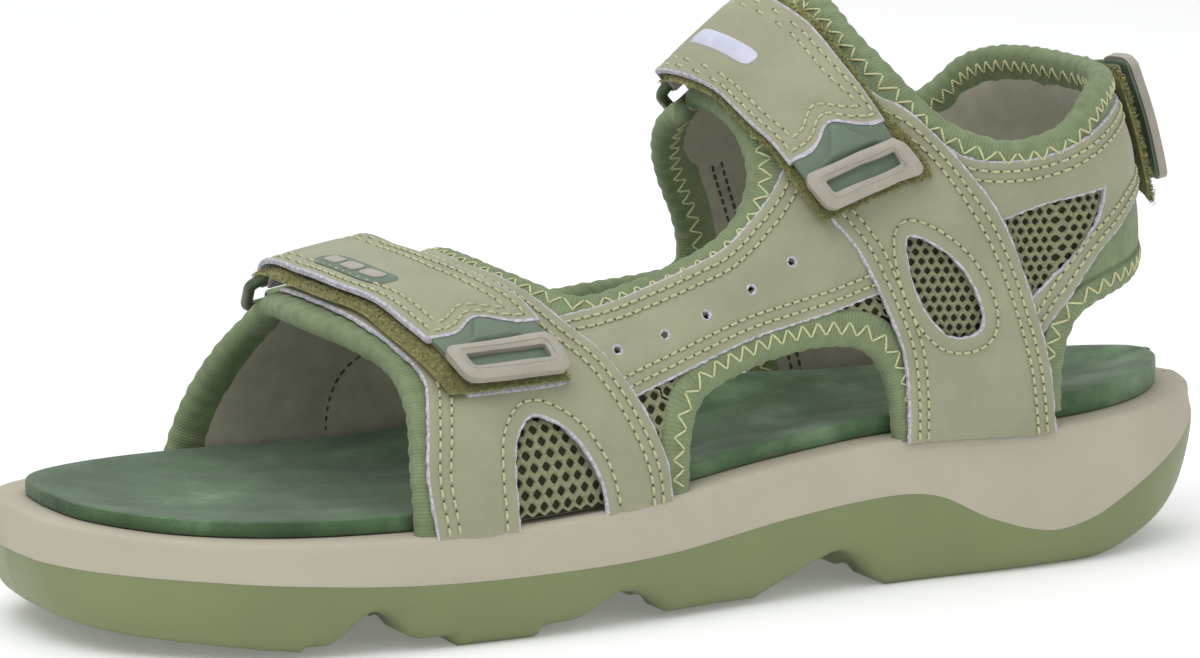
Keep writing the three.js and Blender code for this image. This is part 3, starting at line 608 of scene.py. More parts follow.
def leather_material():
    m = Shader("synthetic_leather", 0.5, Specular_IOR_Level=0.42, Sheen_Weight=0.05)
    m.shade(m.noise(14, 5, 0.6), srgb(154, 154, 127), 0.09)
    m.bump(m.cells(0.55), 0.035, 0.5)
    m.bump(m.noise(5.0, 6, 0.6), 0.22, 0.5)
    m.bump(m.noise(0.2, 2), 0.02, 0.4)
    m.rough(m.noise(9, 4), 0.44, 0.6)
    return m.material


def edge_material():
    m = Shader("raw_edge", 0.9, Specular_IOR_Level=0.2)
    m.tint(m.noise(0.9, 5, 0.7), [(0.35, srgb(158, 156, 160)), (0.62, srgb(214, 211, 222))])
    m.bump(m.noise(0.22, 4, 0.7), 0.16, 0.9)
    return m.material


def outsole_material():
    m = Shader("outsole_rubber", 0.42, Specular_IOR_Level=0.45, Coat_Weight=0.06, Coat_Roughness=0.35)
    m.shade(m.noise(30, 4), srgb(121, 133, 88), 0.07)
    m.bump(m.noise(0.35, 3, 0.6), 0.03, 0.5)
    m.bump(m.noise(7, 3), 0.18, 0.35)
    m.rough(m.noise(6, 4), 0.38, 0.52)
    return m.material


def midsole_material():
    m = Shader("midsole_foam", 0.72, Specular_IOR_Level=0.3)
    m.shade(m.noise(22, 5, 0.6), srgb(184, 177, 159), 0.05)
    m.bump(m.cells(0.5), 0.05, 0.55)
    m.bump(m.noise(1.1, 5, 0.7), 0.10, 0.5)
    return m.material


def footbed_material():
    """Its colour also gets lighter towards the heel: a painted highlight, where the light falls on the heel.
    """
    m = Shader("footbed_microfibre", 0.8, Sheen_Weight=0.3, Sheen_Roughness=0.4, Specular_IOR_Level=0.3)
    worn = m.noise(17, 6, 0.62)
    # the mottling plus a rise along X towards the heel; the rise is painted highlight
    mottle_and_heel_highlight = m.math("ADD", worn, m.math("MULTIPLY", m.part(m.place, "X"), 0.8))
    m.tint(mottle_and_heel_highlight, [(0.25, srgb(58, 82, 54)), (0.5, srgb(82, 110, 77)), (0.75, srgb(126, 152, 120))])
    m.bump(m.cells(1.2), 0.14, 0.6)
    m.bump(m.noise(0.45, 4, 0.7), 0.09, 0.7)
    m.bump(m.noise(9.0, 5, 0.6), 0.22, 0.4)
    m.rough(worn, 0.7, 0.92)
    return m.material


def lining_material():
    m = Shader("padded_lining", 0.95, Sheen_Weight=0.25, Sheen_Roughness=0.5, Specular_IOR_Level=0.2)
    m.shade(m.noise(5, 6, 0.65), srgb(172, 167, 150), 0.12)
    m.bump(m.math("MULTIPLY", m.ribs(0, 0.7), m.ribs(1, 0.7)), 0.06, 0.5)
    m.bump(m.noise(0.6, 4, 0.7), 0.12, 0.6)
    return m.material


def mesh_material():
    m = Shader("air_mesh", 0.85, Sheen_Weight=0.15, Specular_IOR_Level=0.3)
    m.tint(m.noise(0.5, 4, 0.7), [(0.3, srgb(112, 112, 84)), (0.7, srgb(163, 162, 128))])
    m.bump(m.noise(0.18, 3, 0.7), 0.12, 0.8)
    return m.material


def binding_material():
    m = Shader("elastic_binding", 0.85, Sheen_Weight=0.2, Sheen_Roughness=0.4, Specular_IOR_Level=0.25)
    ribs = m.ribs(0, 0.66)
    tone = m.math("ADD", m.math("MULTIPLY", ribs, 0.11), m.noise(3.5, 5, 0.65))
    m.shade(tone, srgb(124, 138, 103), 0.16, 0.28, 0.68)
    m.bump(ribs, 0.05, 0.6)
    m.bump(m.noise(0.25, 4, 0.7), 0.1, 0.6)
    return m.material


def thread_material(name, colour):
    m = Shader(name, 0.7, Sheen_Weight=0.2, Specular_IOR_Level=0.35)
    m.shade(m.noise(0.6, 3), colour, 0.14)
    m.bump(m.ribs(0, 0.45), 0.08, 0.7)
    return m.material


def pile_material():
    m = Shader("pile_tape", 1.0, Sheen_Weight=0.3, Specular_IOR_Level=0.1)
    m.tint(m.noise(0.8, 5, 0.75),
           [(0.3, srgb(102, 102, 62)), (0.5, srgb(152, 149, 88)), (0.72, srgb(194, 191, 134))])
    m.bump(m.noise(0.2, 4, 0.8), 0.3, 1.0)
    return m.material


def plain_material(name, colour, roughness, grain=0.35, depth=0.04, **fixed):
    """A plain material with a fine grain of a given size and depth, and a wider one."""
    m = Shader(name, roughness, **fixed)
    m.shade(m.noise(4, 5, 0.6), colour, 0.08)
    m.bump(m.noise(grain, 4, 0.6), depth, 0.6)
    m.bump(m.noise(3.5, 3), depth * 2.5, 0.4)
    m.rough(m.noise(2.5, 4), roughness - 0.06, roughness + 0.08)
    return m.material


def floor_material():
    m = Shader("floor_paint", 0.85, Specular_IOR_Level=0.1, Emission_Color=(1, 1, 1, 1),
               Emission_Strength=0.16)
    m.tint(m.noise(300, 2), [(0.3, (0.93, 0.93, 0.93, 1)), (0.7, (0.95, 0.95, 0.95, 1))])
    return m.material


LEATHER = leather_material()
EDGE = edge_material()
OUTSOLE = outsole_material()
MIDSOLE = midsole_material()
FOOTBED = footbed_material()
LINING_CLOTH = lining_material()
MESH_YARN = mesh_material()
BINDING_CLOTH = binding_material()
THREAD = thread_material("stitch_thread", srgb(204, 204, 160))
LINING_THREAD = thread_material("lining_thread", srgb(66, 68, 52))
# the needle holes' dark colour is painted shade
HOLE_SHADE = plain_material("needle_hole_shade", srgb(84, 86, 60), 0.95)
BACKING = plain_material("mesh_backing", srgb(62, 60, 40), 0.95, 0.5, 0.1)
ZIGZAG_THREAD = thread_material("zigzag_thread", srgb(206, 208, 158))
PILE_CLOTH = pile_material()
HOOK_CLOTH = plain_material("hook_tape", srgb(168, 166, 140), 0.8, 0.3, 0.12)
RING_PLASTIC = plain_material("ring_plastic", srgb(74, 92, 62), 0.42)
TAB_RUBBER = plain_material("tab_rubber", srgb(100, 118, 99), 0.55)
FRAME_RUBBER = plain_material("trim_rubber", srgb(166, 160, 146), 0.5)
FILM = plain_material("reflective_film", srgb(200, 203, 220), 0.32, 0.5, 0.02, Specular_IOR_Level=0.6)
BOARD = plain_material("fibre_board", srgb(172, 160, 132), 0.9, 0.6, 0.08)

# ---------- sole ----------
PLAN_STEPS = 300
CAP_COLUMNS = 56
LATERAL_PLAN = [(-137, 5), (-135, -12), (-127, -26), (-113, -38), (-95, -46), (-70, -49.6), (-42, -49.5),
                (-12, -46), (20, -40.5), (50, -37), (80, -35.5), (103, -32), (121, -24), (133, -12), (137, 0)]
MEDIAL_PLAN = [(-137, 5), (-135, 20), (-127, 33), (-113, 43), (-92, 49), (-65, 49.9), (-38, 46), (-10, 38.5),
               (20, 32), (50, 30.5), (80, 32), (103, 30.5), (121, 23), (133, 11), (137, 0)]
wave_z = through([(-137, 18), (-113, 17), (-95, 15.8), (-70, 14.2), (-42, 13.8), (-12, 14.5), (20, 18.2),
                  (45, 20), (57, 18.6), (70, 12.5), (85, 8.5), (96, 10), (106, 14), (120, 20), (130, 24.5),
                  (137, 27)])
ground_line = through([(-137, 8), (-127, 5), (-111, 3.2), (-92, 1.2), (-82, 0), (-66, 0), (-30, 0),
                       (-10, 1.2), (10, 1.2), (30, 0.4), (48, 0), (97, 0), (106, 1.2), (120, 5.5),
                       (131, 10.5), (137, 15)])
GROOVES = [
    [(-92.2, 0), (-91, 2.0), (-85.5, 2.6), (-81, 6.3), (-77.5, 8.5), (-74, 7.4), (-70.5, 3.6), (-67, 2.3),
     (-60.6, 2.0), (-59.4, 0)],
    [(-41.2, 0), (-40, 1.9), (-31, 2.6), (-26.5, 4.6), (-21, 6.8), (-16, 5.8), (-11.5, 2.6), (-9, 0.9),
     (-6, 0)],
    [(10, 0), (15, 2), (22, 4.6), (29, 7.2), (34.5, 8.6), (38.5, 6.6), (42.5, 2.6), (46, 0)],
]
TREAD_PITCH = 8.5
TREAD_DEPTH = 1.1
TREAD_SLANT = 0.35
# how far the outsole's side lies inside the plan, from the ground up to the wave-shaped seam
outsole_inset = through([(0, 5), (0.06, 3.6), (0.22, 2.1), (0.6, 0.6), (0.85, 0.1), (1, 0)])
OUTSOLE_LOOPS = 15
SEAM_OVERLAP = 0.02
CAP_OVERLAP = 0.1
# loops of the midsole: (inside the plan, share of the way from the seam to the rim, drop below the rim)
MIDSOLE_LOOPS = [(0.02, 0, 3.2), (0.0, 0.1, 3.2), (0.15, 0.3, 3.2), (0.42, 0.55, 3.2), (0.62, 0.8, 3.2),
                 (0.75, 1, 3.2), (0.85, 1, 1.7), (1.05, 1, 0.8), (1.45, 1, 0.3), (2.1, 1, 0.05), (3.6, 1, 0),
                 (8, 1, 0), (12, 1, 0), (12.4, 1, 1.8)]
RECESS_DEPTH = 1.8
# loops of the footbed: (inside the plan, share of its rise)
FOOTBED_LOOPS = [(8.3, 0), (8.0, 0.1), (7.9, 0.5), (7.95, 0.85), (8.1, 0.95), (8.6, 1.0)]
FOOTBED_GAP = 0.25
footbed_rise = through([(-137, 3.0), (-60, 3.3), (20, 3.6), (90, 4.8), (137, 6.2)])
footbed_dish = through([(0, 1.0), (3, 1.0), (8, 0.9), (14, 0.76), (26, 0.66)])   # by distance from its edge
ARCH_SUPPORT = 7.0               # the footbed's raised arch, on the medial side
ARCH_X, ARCH_LENGTH = 5, 38


def bottom_z(x):
    """The underside's height: the ground line with the grooves cut into it."""
    return np.maximum.reduce([ground_line(x), 0 * x] + [through(groove)(x) for groove in GROOVES])


def rim_z(x):
    return feather_z(x) - FEATHER_GAP


def footbed_foot(x):
    return rim_z(x) + FOOTBED_GAP


def plan_loop():
    """The sole's outline from above: the lateral side towards the heel, then the medial side back."""
    at = np.linspace(0, 1, PLAN_STEPS + 1)
    lateral, medial = (spaced(spline(plan, 40), 0.4) for plan in (LATERAL_PLAN, MEDIAL_PLAN))
    picked = [line[np.round(at * (len(line) - 1)).astype(int)] for line in (lateral, medial)]
    return np.concatenate([picked[0], picked[1][-2:0:-1]])


def sole_loop(inset, height_at):
    """The outline moved inwards, at a height that is a function of x."""
    plan = plan_loop()
    moved = plan + leftward(unit(np.roll(plan, -1, 0) - np.roll(plan, 1, 0))) * inset
    return np.column_stack([moved, height_at(moved[:, 0])])


def sole_solid(name, loops, low_cap, high_cap, material, replaces):
    """A closed solid through loops. A cap's height is a function of x, y and the distance from its rim."""
    count = len(loops[0])
    points = list(loops)
    faces = grid_faces(len(loops), count, closed_columns=True)
    start = len(loops) * count
    half = count // 2
    share = np.linspace(0, 1, CAP_COLUMNS + 1)[None, :, None]
    for loop, shape in ((loops[0], low_cap), (loops[-1], high_cap)):
        a, b = loop[:half + 1], loop[(count - np.arange(half + 1)) % count]
        cap = a[:, None] + (b - a)[:, None] * share
        width = np.linalg.norm(b - a, axis=1)[:, None]
        gap = np.minimum(share[..., 0], 1 - share[..., 0]) * width
        cap[..., 2] = np.where(gap > 1e-6, shape(cap[..., 0], cap[..., 1], gap), cap[..., 2])
        points.append(cap.reshape(-1, 3))
        faces += grid_faces(half + 1, CAP_COLUMNS + 1, start)
        start += cap[..., 0].size
    made = piece(name, np.concatenate(points), faces, [material], SOLE_BODY, replaces, merge=0.02)
    return crisp(made, 45)


def tread(x, y, gap):
    """The underside, with shallow chevron channels that fade out towards its edge."""
    phase = (x + TREAD_SLANT * np.abs(y)) / TREAD_PITCH
    wave = np.clip(np.cos(phase * 2 * math.pi) * 3 - 1.6, 0, 1)
    return bottom_z(x) + TREAD_DEPTH * wave * np.clip((gap - 3.5) / 2.5, 0, 1)


def footbed_top(x, y, gap):
    """The footbed's top: dished, a little uneven, and raised under the arch."""
    ripple = 0.1 * np.sin(x * 0.31 + y * 0.2) * np.sin(y * 0.23 - x * 0.13) * np.clip(gap / 6, 0, 1)
    arch = np.exp(-((x - ARCH_X) / ARCH_LENGTH) ** 2) * smoothstep(y, 4, 24) * np.clip(gap / 4, 0, 1)
    return footbed_foot(x) + footbed_rise(x) * footbed_dish(gap) + ARCH_SUPPORT * arch + ripple


def make_sole():
    def outsole_level(share):
        return lambda x: bottom_z(x) * (1 - share) + (wave_z(x) - SEAM_OVERLAP) * share

    def midsole_level(share, drop):
        return lambda x: (wave_z(x) + SEAM_OVERLAP) * (1 - share) + (rim_z(x) - drop) * share

    def footbed_level(share):
        return lambda x: footbed_foot(x) + footbed_rise(x) * share

    shares = np.linspace(0, 1, OUTSOLE_LOOPS)
    sole_solid("outsole_rubber_shell",
               [sole_loop(outsole_inset(share), outsole_level(share)) for share in shares],
               tread, lambda x, y, gap: wave_z(x) - CAP_OVERLAP, OUTSOLE, ["outsole"])
    sole_solid("midsole_foam_block",
               [sole_loop(inset, midsole_level(share, drop)) for inset, share, drop in MIDSOLE_LOOPS],
               lambda x, y, gap: wave_z(x) + CAP_OVERLAP, lambda x, y, gap: rim_z(x) - RECESS_DEPTH,
               MIDSOLE, ["midsole"])
    sole_solid("footbed_cover", [sole_loop(inset, footbed_level(share)) for inset, share in FOOTBED_LOOPS],
               lambda x, y, gap: footbed_foot(x), footbed_top, FOOTBED, ["footbed"])


# ---------- upper ----------
# distances out from the foot-form of each layer as it is drawn
LINING = (0.5, 2.9)
MESH_LEVEL = (3.15, 3.95)
QUILT_OFFSETS = (7.0, 9.2)       # the seams through the quarter's lining, back from its front edge
FINE_PITCH = 2.3                 # the knit of the quarter and heel windows is finer than the front one
LOWER_LEATHER = (4.05, 4.95)     # the arm and the heel piece, tucked under their neighbours
UPPER_LEATHER = (5.0, 5.9)       # the front and quarter pieces
BINDING_FLANK = 9.0              # how far in from its edge a binding reaches
ARCH_FLANK = 7.5
LOWER_FLANK = 6.5
ZIGZAG = (2.2, 5.0)              # the zigzag stitches run between these distances from the edge
ROW_OFFSETS = (2.1, 4.3)         # a double row of stitches, in from a cut edge
ARM_ROWS = {"lateral": (1.7, 3.8), "medial": (1.6,)}
HEEL_ROWS = (1.8, 3.9)
ROW_PUFF, ROW_DEPTH, ROW_WIDTH = 0.3, 0.22, 0.8      # relief of a stitched panel
WINDOW_ROW = 2.6                 # the row round the front window
RING_ROW = 2.9                   # the row round the quarter window
TUCKED = -0.4                    # below this height a cut edge is hidden by the midsole
LOW = -1.0                       # how far the panels reach down behind the midsole's rim

FRONT_WINDOW = [(-47, LOW), (-47, 8), (-45, 15), (-40, 19), (-33, 15), (-28, 7), (-26, LOW)]
QUARTER_WINDOW = [(51, 41), (56, 40), (63, 35), (67, 28), (67.5, 22), (63.5, 19.7), (58, 20.5), (53, 26),
                  (50.5, 34)]
HEEL_WINDOW = [[(72, 44.5), (83, 48), (96.5, 50)], [(96.5, 50), (94, 43), (87, 34), (79, 27)],
               [(79, 27), (76, 35), (72, 44.5)]]
PUNCH = 1.15                     # radius of the punched holes
PERFORATIONS = [(-17, 29), (-6, 30), (4, 32), (15, 35), (25, 39)]
KNIT_LIMITS = {"front": 34, "quarter": 50}     # the knit's top, where the panels hide it
COLLAR_TOP = [(50.5, 97), (51, 88), (53.5, 79.5), (58, 71.5), (64, 65), (71, 61.8), (77, 61), (85, 62.6),
              (91, 66), (98, 70.5), (110, 73), (BACK, 73)]
HEEL_TOP = [(62, 60), (66, 57.5), (72, 56.5), (83, 57.5), (92, 60.5), (100, 63.5), (110, 65.5), (BACK, 66)]
HEEL_UNDER = [(82, 20), (86.5, 26), (93, 35.5), (100, 41), (108, 45), (120, 46.6), (BACK, 47)]
HEEL_LOWER = [(87, 3), (87.4, 14), (90, 22), (96, 25.5), (108, 28), (120, 30), (BACK, 31)]
HEEL_KNIT = [[(68, 22), (84, 24), (104, 38)], [(66, 55), (84, 55), (104, 54)]]
HEEL_SKIRT = [[(88, 20), (91, 26), (98, 29.5), (109, 32), (120, 33.5), (BACK, 34)],
              [(87, 28), (93, 38), (100, 43.5), (108, 47), (120, 49), (BACK, 49.5)]]
HEEL_LINING = [
    [(82.4, 20), (86, 26.5), (92, 30.8), (99, 32.4), (109, 33.8), (120, 35.2), (BACK, 36)],
    [(68.9, 56.6), (77, 56), (85, 57.6), (91, 61), (98, 65.4), (110, 68.2), (BACK, 68.2)]]
QUARTER_LINING_BACK = [(82.8, 0), (82.6, 18), (77.6, 38), (68.6, 56.5)]
QUARTER_BACK = [(85, LOW), (83, 14), (78, 30), (72, 45), (66, 55)]

# a panel lies between two edge lines, its front or lower one first; a binding follows one line
UPPER = {
    "lateral": {
        "front_lining": [
            [(-64.5, 0), (-63.5, 11), (-60.5, 25), (-60.5, 36), (-64, 46), (-67.5, 57), (-69, 69), (-68, 82)],
            [(-9, 0), (-8, 10), (-7, 17), (-13.5, 27), (-24, 38.5), (-32.8, 53), (-36.2, 66), (-37.2, 82)]],
        "front_overlay": [
            [(-64, LOW), (-65, 9), (-62, 20), (-59.5, 29), (-61.5, 38), (-65, 50), (-68, 62), (-69.5, 74)],
            [(-11, LOW), (-12, 7), (-16, 18), (-21, 29), (-26, 37), (-31, 50), (-36, 62), (-38, 74)]],
        "arm_lining": [
            [(-8, 17), (-3, 20.5), (4, 23), (19, 25.5), (33, 25.5), (42, 24), (50, 22)],
            [(-26, 38.5), (-19, 38.5), (-8, 39.5), (4, 41), (12, 43.5), (20, 48.5), (28, 56), (36, 60)]],
        "arm_overlay": [
            [(-19, 18.5), (-15, 20), (-1, 23), (14, 26), (31, 28), (44, 30.5)],
            [(-30, 39), (-17, 39), (-8, 40), (4, 42), (12, 44), (20, 49), (26, 54), (33, 62)]],
        "quarter_lining": [
            [(51, 0), (49.5, 11), (46, 21), (41, 32), (36, 44), (32, 56), (29, 66), (27.5, 79), (27, 91)],
            [*QUARTER_LINING_BACK, (60, 61), (54, 67), (50, 75), (48, 84), (47, 93)]],
        "quarter_overlay": [
            [(49, LOW), (49, 8), (48, 18), (44, 29), (40, 39), (35, 47), (31, 55), (29, 63)],
            [*QUARTER_BACK, (59.5, 62.5), (52.5, 69), (45.5, 74)]],
        "throat": [(-32.5, 82), (-31.5, 68), (-28, 56), (-20, 44.5), (-8, 43.8), (4, 45.4), (12, 48),
                   (18, 52.5), (22.5, 60), (24, 70), (23.5, 80), (23, 91)],
        "front": [(-68, LOW), (-67.5, 11), (-64.6, 25), (-64.4, 36), (-68, 46), (-72, 57), (-73.5, 69),
                  (-72.5, 80)],
        "arch": [(-5, LOW), (-4, 9), (0, 16), (8, 19), (20, 21), (32, 21), (41, 18), (45.5, 10), (47, LOW)],
    },
    "medial": {
        "front_lining": [
            [(-81, 0), (-76.4, 12), (-71, 24), (-67.6, 33), (-67, 42)],
            [(-22, 0), (-22, 9), (-24, 19), (-30.5, 28), (-35.5, 42)]],
        "front_overlay": [
            [(-80, LOW), (-76, 12), (-70, 23), (-66, 32)],
            [(-24, LOW), (-24, 9), (-27, 20), (-32, 31)]],
        "arm_lining": [
            [(-16.8, 15), (-4, 16.2), (10, 17.7), (24, 18.5), (40, 17.8)],
            [(-21, 24), (-8, 24.5), (4, 25), (16, 25), (30.5, 25.5)]],
        "arm_overlay": [
            [(-26, 14.5), (-20, 15.4), (-6, 16.5), (8, 18), (24, 18.8), (41, 18.4)],
            [(-30, 24), (-8, 24.5), (4, 25), (16, 25), (35, 26.5)]],
        "quarter_lining": [
            [(50, 0), (47, 9), (42.5, 17), (36, 26.5), (30.5, 39), (25, 51), (22, 60), (22.5, 70)],
            [*QUARTER_LINING_BACK, (60, 61), (53, 69), (49, 82), (48, 92)]],
        "quarter_overlay": [
            [(49, LOW), (46, 9), (41.5, 17), (35, 27), (31, 38), (27, 48), (26, 51)],
            [*QUARTER_BACK, (58, 63), (50, 74)]],
        "throat": [(-31.5, 42), (-26.5, 33), (-20, 28.5), (-8, 28.7), (6, 29), (20, 29), (27, 30.5), (26, 39),
                   (21, 50), (18.5, 57), (17.5, 64), (18.5, 71)],
        "front": [(-86, LOW), (-81.5, 12), (-76, 24.5), (-72.5, 32), (-71.5, 38)],
        "arch": [(-18, LOW), (-17.5, 6), (-13.5, 10.8), (-3, 12.2), (12, 13.6), (28, 14.2), (38, 12.4),
                 (43.5, 7.5), (46, LOW)],
    },
}


def between(edges):
    """The outline of a panel between two edge lines drawn in the same direction."""
    return joined([edges[0], edges[1][::-1]])


def grooved(rows):
    """Relief of a stitched panel: pulled in along its rows of stitches, a little full between them."""
    def relief(flat):
        gap = nearest(flat, rows)
        return ROW_PUFF * (1 - np.exp(-(gap / 4.0) ** 2)) - ROW_DEPTH * np.exp(-(gap / ROW_WIDTH) ** 2)
    return relief


def ring_row(knots, amount):
    """A closed row of stitches outside a window."""
    line = ring_line(knots)
    closed = np.concatenate([line, line[:2]])
    moved = [offset(closed, sign * amount)[:-1] for sign in (1, -1)]
    return max(moved, key=lambda row: np.ptp(row[:, 0]))


def edge_rows(knots, sign, offsets=ROW_OFFSETS):
    """Rows of stitches beside an edge, on its left with sign 1."""
    line = spaced(spline(knots), ROW_STEP)
    return [offset(line, sign * amount) for amount in offsets]


def flat_lay(flat):
    """The layout of flat points, with a third coordinate of 0."""
    flat = flat.reshape(-1, 2)
    return np.concatenate([flat, np.zeros((len(flat), 1))], 1)


KNIT_PITCH = 2.75
KNIT_CORNERS = 12
KNIT_OPENING = 0.74


def knit(name, wall, outline, replaces, limit=99, pitch=KNIT_PITCH):
    """Open hexagonal knit below a height: a ring of yarn round each diamond-shaped hole."""
    centres = staggered(outline, pitch, pitch)
    centres = centres[inside(centres, outline) & (centres[:, 1] < limit)]
    centres = centres[distance_to(centres, outline, True) > pitch * 0.5]
    turn = np.arange(KNIT_CORNERS) / KNIT_CORNERS * 2 * math.pi
    sixth = math.pi / 3
    hexagon = pitch / 2 / np.cos((turn + sixth / 2) % sixth - sixth / 2)
    ray = np.stack([np.cos(turn), np.sin(turn)], 1)
    outer = ray * hexagon[:, None]
    corner_pull = np.abs(ray).sum(1) ** -0.55
    hole = ray * (pitch / 2 * KNIT_OPENING * corner_pull)[:, None]
    crown = (outer + hole * 1.35) / 2.35
    low, high = MESH_LEVEL
    rings = np.stack([outer, crown, hole, hole * 1.02])
    levels = np.array([high - 0.12, high, high - 0.3, low])
    flat = centres[:, None, None] + rings[None]
    base, out = wall.frame(flat[..., 0], flat[..., 1])
    points = (base + out * levels[None, :, None, None]).reshape(-1, 3)
    one = grid_faces(len(rings), KNIT_CORNERS, closed_columns=True)
    faces = repeated(one, len(rings) * KNIT_CORNERS, len(centres))
    return piece(name, points, faces, [MESH_YARN], SOLE_BODY, replaces, flat_lay(flat),
                 merge=0.03, outward=False)


CLOTH_SCALE = 25                 # the simulation runs on an enlarged copy, where cloth settings are tuned
CLOTH_FRAMES = 20
CLOTH = {"quality": 5, "mass": 0.02, "tension_stiffness": 8, "compression_stiffness": 8,
         "bending_stiffness": 0.5, "use_pressure": True, "uniform_pressure_force": 4,
         "vertex_group_mass": "pinned"}
SWELL_CAP = 1.3                  # the most a panel may swell inwards, in millimetres
BACK_CAP = 0.1


def swell(obj, pinned, inner):
    """Blows up a thin padded panel with a cloth simulation, and keeps the capped result."""
    mesh = obj.data
    count = len(mesh.vertices)
    rest = np.empty(count * 3)
    mesh.vertices.foreach_get("co", rest)
    rest = rest.reshape(-1, 3)
    middle = rest.mean(0)
    work = obj.copy()
    work.data = mesh.copy()
    work.parent = None
    work.matrix_world = Matrix.Identity(4)
    work.data.vertices.foreach_set("co", ((rest - middle) * CLOTH_SCALE).ravel())
    bpy.context.scene.collection.objects.link(work)
    group = work.vertex_groups.new(name="pinned")
    group.add([int(v) for v in pinned], 1.0, "REPLACE")
    settings = work.modifiers.new("cloth", "CLOTH").settings
    for key, value in CLOTH.items():
        setattr(settings, key, value)
    settings.effector_weights.gravity = 0
    scene = bpy.context.scene
    scene.frame_start, scene.frame_end = 1, CLOTH_FRAMES
    for number in range(1, CLOTH_FRAMES + 1):
        scene.frame_set(number)
    seen = work.evaluated_get(bpy.context.evaluated_depsgraph_get())
    blown = np.empty(count * 3)
    seen.data.vertices.foreach_get("co", blown)
    moved = blown.reshape(-1, 3) / CLOTH_SCALE + middle - rest
    bpy.data.objects.remove(work)
    scene.frame_set(1)
    length = np.linalg.norm(moved, axis=1, keepdims=True)
    cap = np.where(inner, SWELL_CAP, BACK_CAP)[:, None] * MM
    moved *= np.tanh(length / cap) * cap / (length + TINY)
    mesh.vertices.foreach_set("co", (rest + moved).ravel())
    mesh.update()


def subdivide(obj):
    modifier = obj.modifiers.new("subdivision", "SUBSURF")
    modifier.levels = modifier.render_levels = 1
    with bpy.context.temp_override(object=obj, active_object=obj, selected_objects=[obj]):
        bpy.ops.object.modifier_apply(modifier=modifier.name)


PANEL_STEP = 2.2
FEW_COLUMNS = 14                 # for a panel whose two edges can't be compared point by point


def line_length(line):
    return np.linalg.norm(np.diff(line, axis=0), axis=1).sum()


def padded_panel(name, wall, edges, replaces, seams=()):
    """A padded lining: a thin closed panel, blown up inwards between its seams."""
    first, second = (spline(edge, 30) for edge in edges)
    rows = max(int(line_length(first) / PANEL_STEP), 4) + 1
    columns = FEW_COLUMNS
    if len(first) == len(second):
        columns = max(int(np.linalg.norm(first - second, axis=1).mean() / PANEL_STEP), 3) + 1
    a, b = (spaced(line, line_length(line) / (rows - 1)) for line in (first, second))
    share = np.linspace(0, 1, columns)[None, :, None]
    flat = a[:, None] * (1 - share) + b[:, None] * share
    base, out = wall.frame(flat[..., 0], flat[..., 1])
    points = np.concatenate([(base + out * level).reshape(-1, 3) for level in LINING])
    size = rows * columns
    inner_faces, outer_faces, walls, rim = slab_faces(rows, columns)
    lay = flat_lay(flat)
    index = [0] * len(inner_faces) + [1] * len(outer_faces) + [0] * len(walls)
    made = piece(name, points, inner_faces + outer_faces + walls, [LINING_CLOTH, BACKING], SOLE_BODY,
                 replaces, np.concatenate([lay, lay]), index)
    pinned = set(rim + [v + size for v in rim])
    seams = [seam[inside(seam, np.concatenate([a, b[::-1]]))] for seam in seams]
    seams = [seam for seam in seams if len(seam) > 4]
    if seams:
        near = nearest(flat.reshape(-1, 2), seams) < PANEL_STEP * 0.6
        pinned |= set(np.nonzero(near)[0].tolist())
        quilting = [dashes(wall, seam, LINING[0] - 0.05, inwards=True) for seam in seams]
        threads(f"{name}_quilting", quilting, LINING_THREAD)
    swell(made, sorted(pinned), np.arange(2 * size) < size)
    subdivide(made)
    return made


def binding_profile(flank, plump):
    """Round the folded binding: (distance in from the edge, level, how much it puckers)."""
    return [(flank, 3.95, 0), (flank - 1.0, 4.15, 0), (5.6, 4.3, 0.05), (4.4, 4.4, 0.12),
            (3.2, 4.5 + plump, 0.14), (2.0, 4.5 + plump, 0.1), (1.0, 4.2 + plump / 2, 0.06),
            (0.25, 3.5, 0.04), (-0.05, 2.6, 0), (0.0, 1.6, 0), (0.35, 0.7, -0.04), (1.2, 0.0, -0.08),
            (2.4, -0.35, -0.1), (3.8, -0.4, -0.1), (5.4, -0.25, -0.05), (flank - 1.0, 0.1, 0),
            (flank, 0.5, 0)]


def binding(name, wall, knots, sign, replaces, flank=BINDING_FLANK, zigzags=True, plump=0.0):
    """Ribbed elastic folded round a padded edge. Returns its zigzag stitches, outside and inside."""
    line = spaced(spline(knots, 24), 0.42)
    along = np.concatenate([[0], np.cumsum(np.linalg.norm(np.diff(line, axis=0), axis=1))])
    pucker = np.cos(along / 3.4 * 2 * math.pi) + 0.4 * np.sin(along / 5.3 * 2 * math.pi)
    profile = binding_profile(flank, plump)
    rows, lays = [], []
    for across, level, swing in profile:
        path = offset(line, sign * (across - 0.12 * pucker * math.exp(-max(across, 0) / 1.5)))
        base, out = wall.frame(*path.T)
        rows.append(base + out * (level + swing * pucker)[:, None])
        lays.append(np.column_stack([along, np.full(len(line), across), np.full(len(line), level)]))
    points, lay = np.stack(rows, 1), np.stack(lays, 1)
    count = len(profile)
    faces = grid_faces(len(line), count, closed_columns=True)
    faces.append(list(range(count)))
    faces.append([(len(line) - 1) * count + k for k in range(count)][::-1])
    made = piece(name, points.reshape(-1, 3), faces, [BINDING_CLOTH], SOLE_BODY, replaces,
                 lay.reshape(-1, 3))
    if not zigzags:
        return []
    bounds = (sign * ZIGZAG[0], sign * ZIGZAG[1])
    return [zigzag(wall, line[4:-4], *bounds, 4.5 + plump * 0.6),
            zigzag(wall, line[4:-4], *bounds, -0.36, inwards=True)]


def past_back(knots):
    """A line drawn up to the middle of the back, carried on over the other side."""
    return list(knots) + [(2 * BACK - w, t) for w, t in knots[-2::-1]]


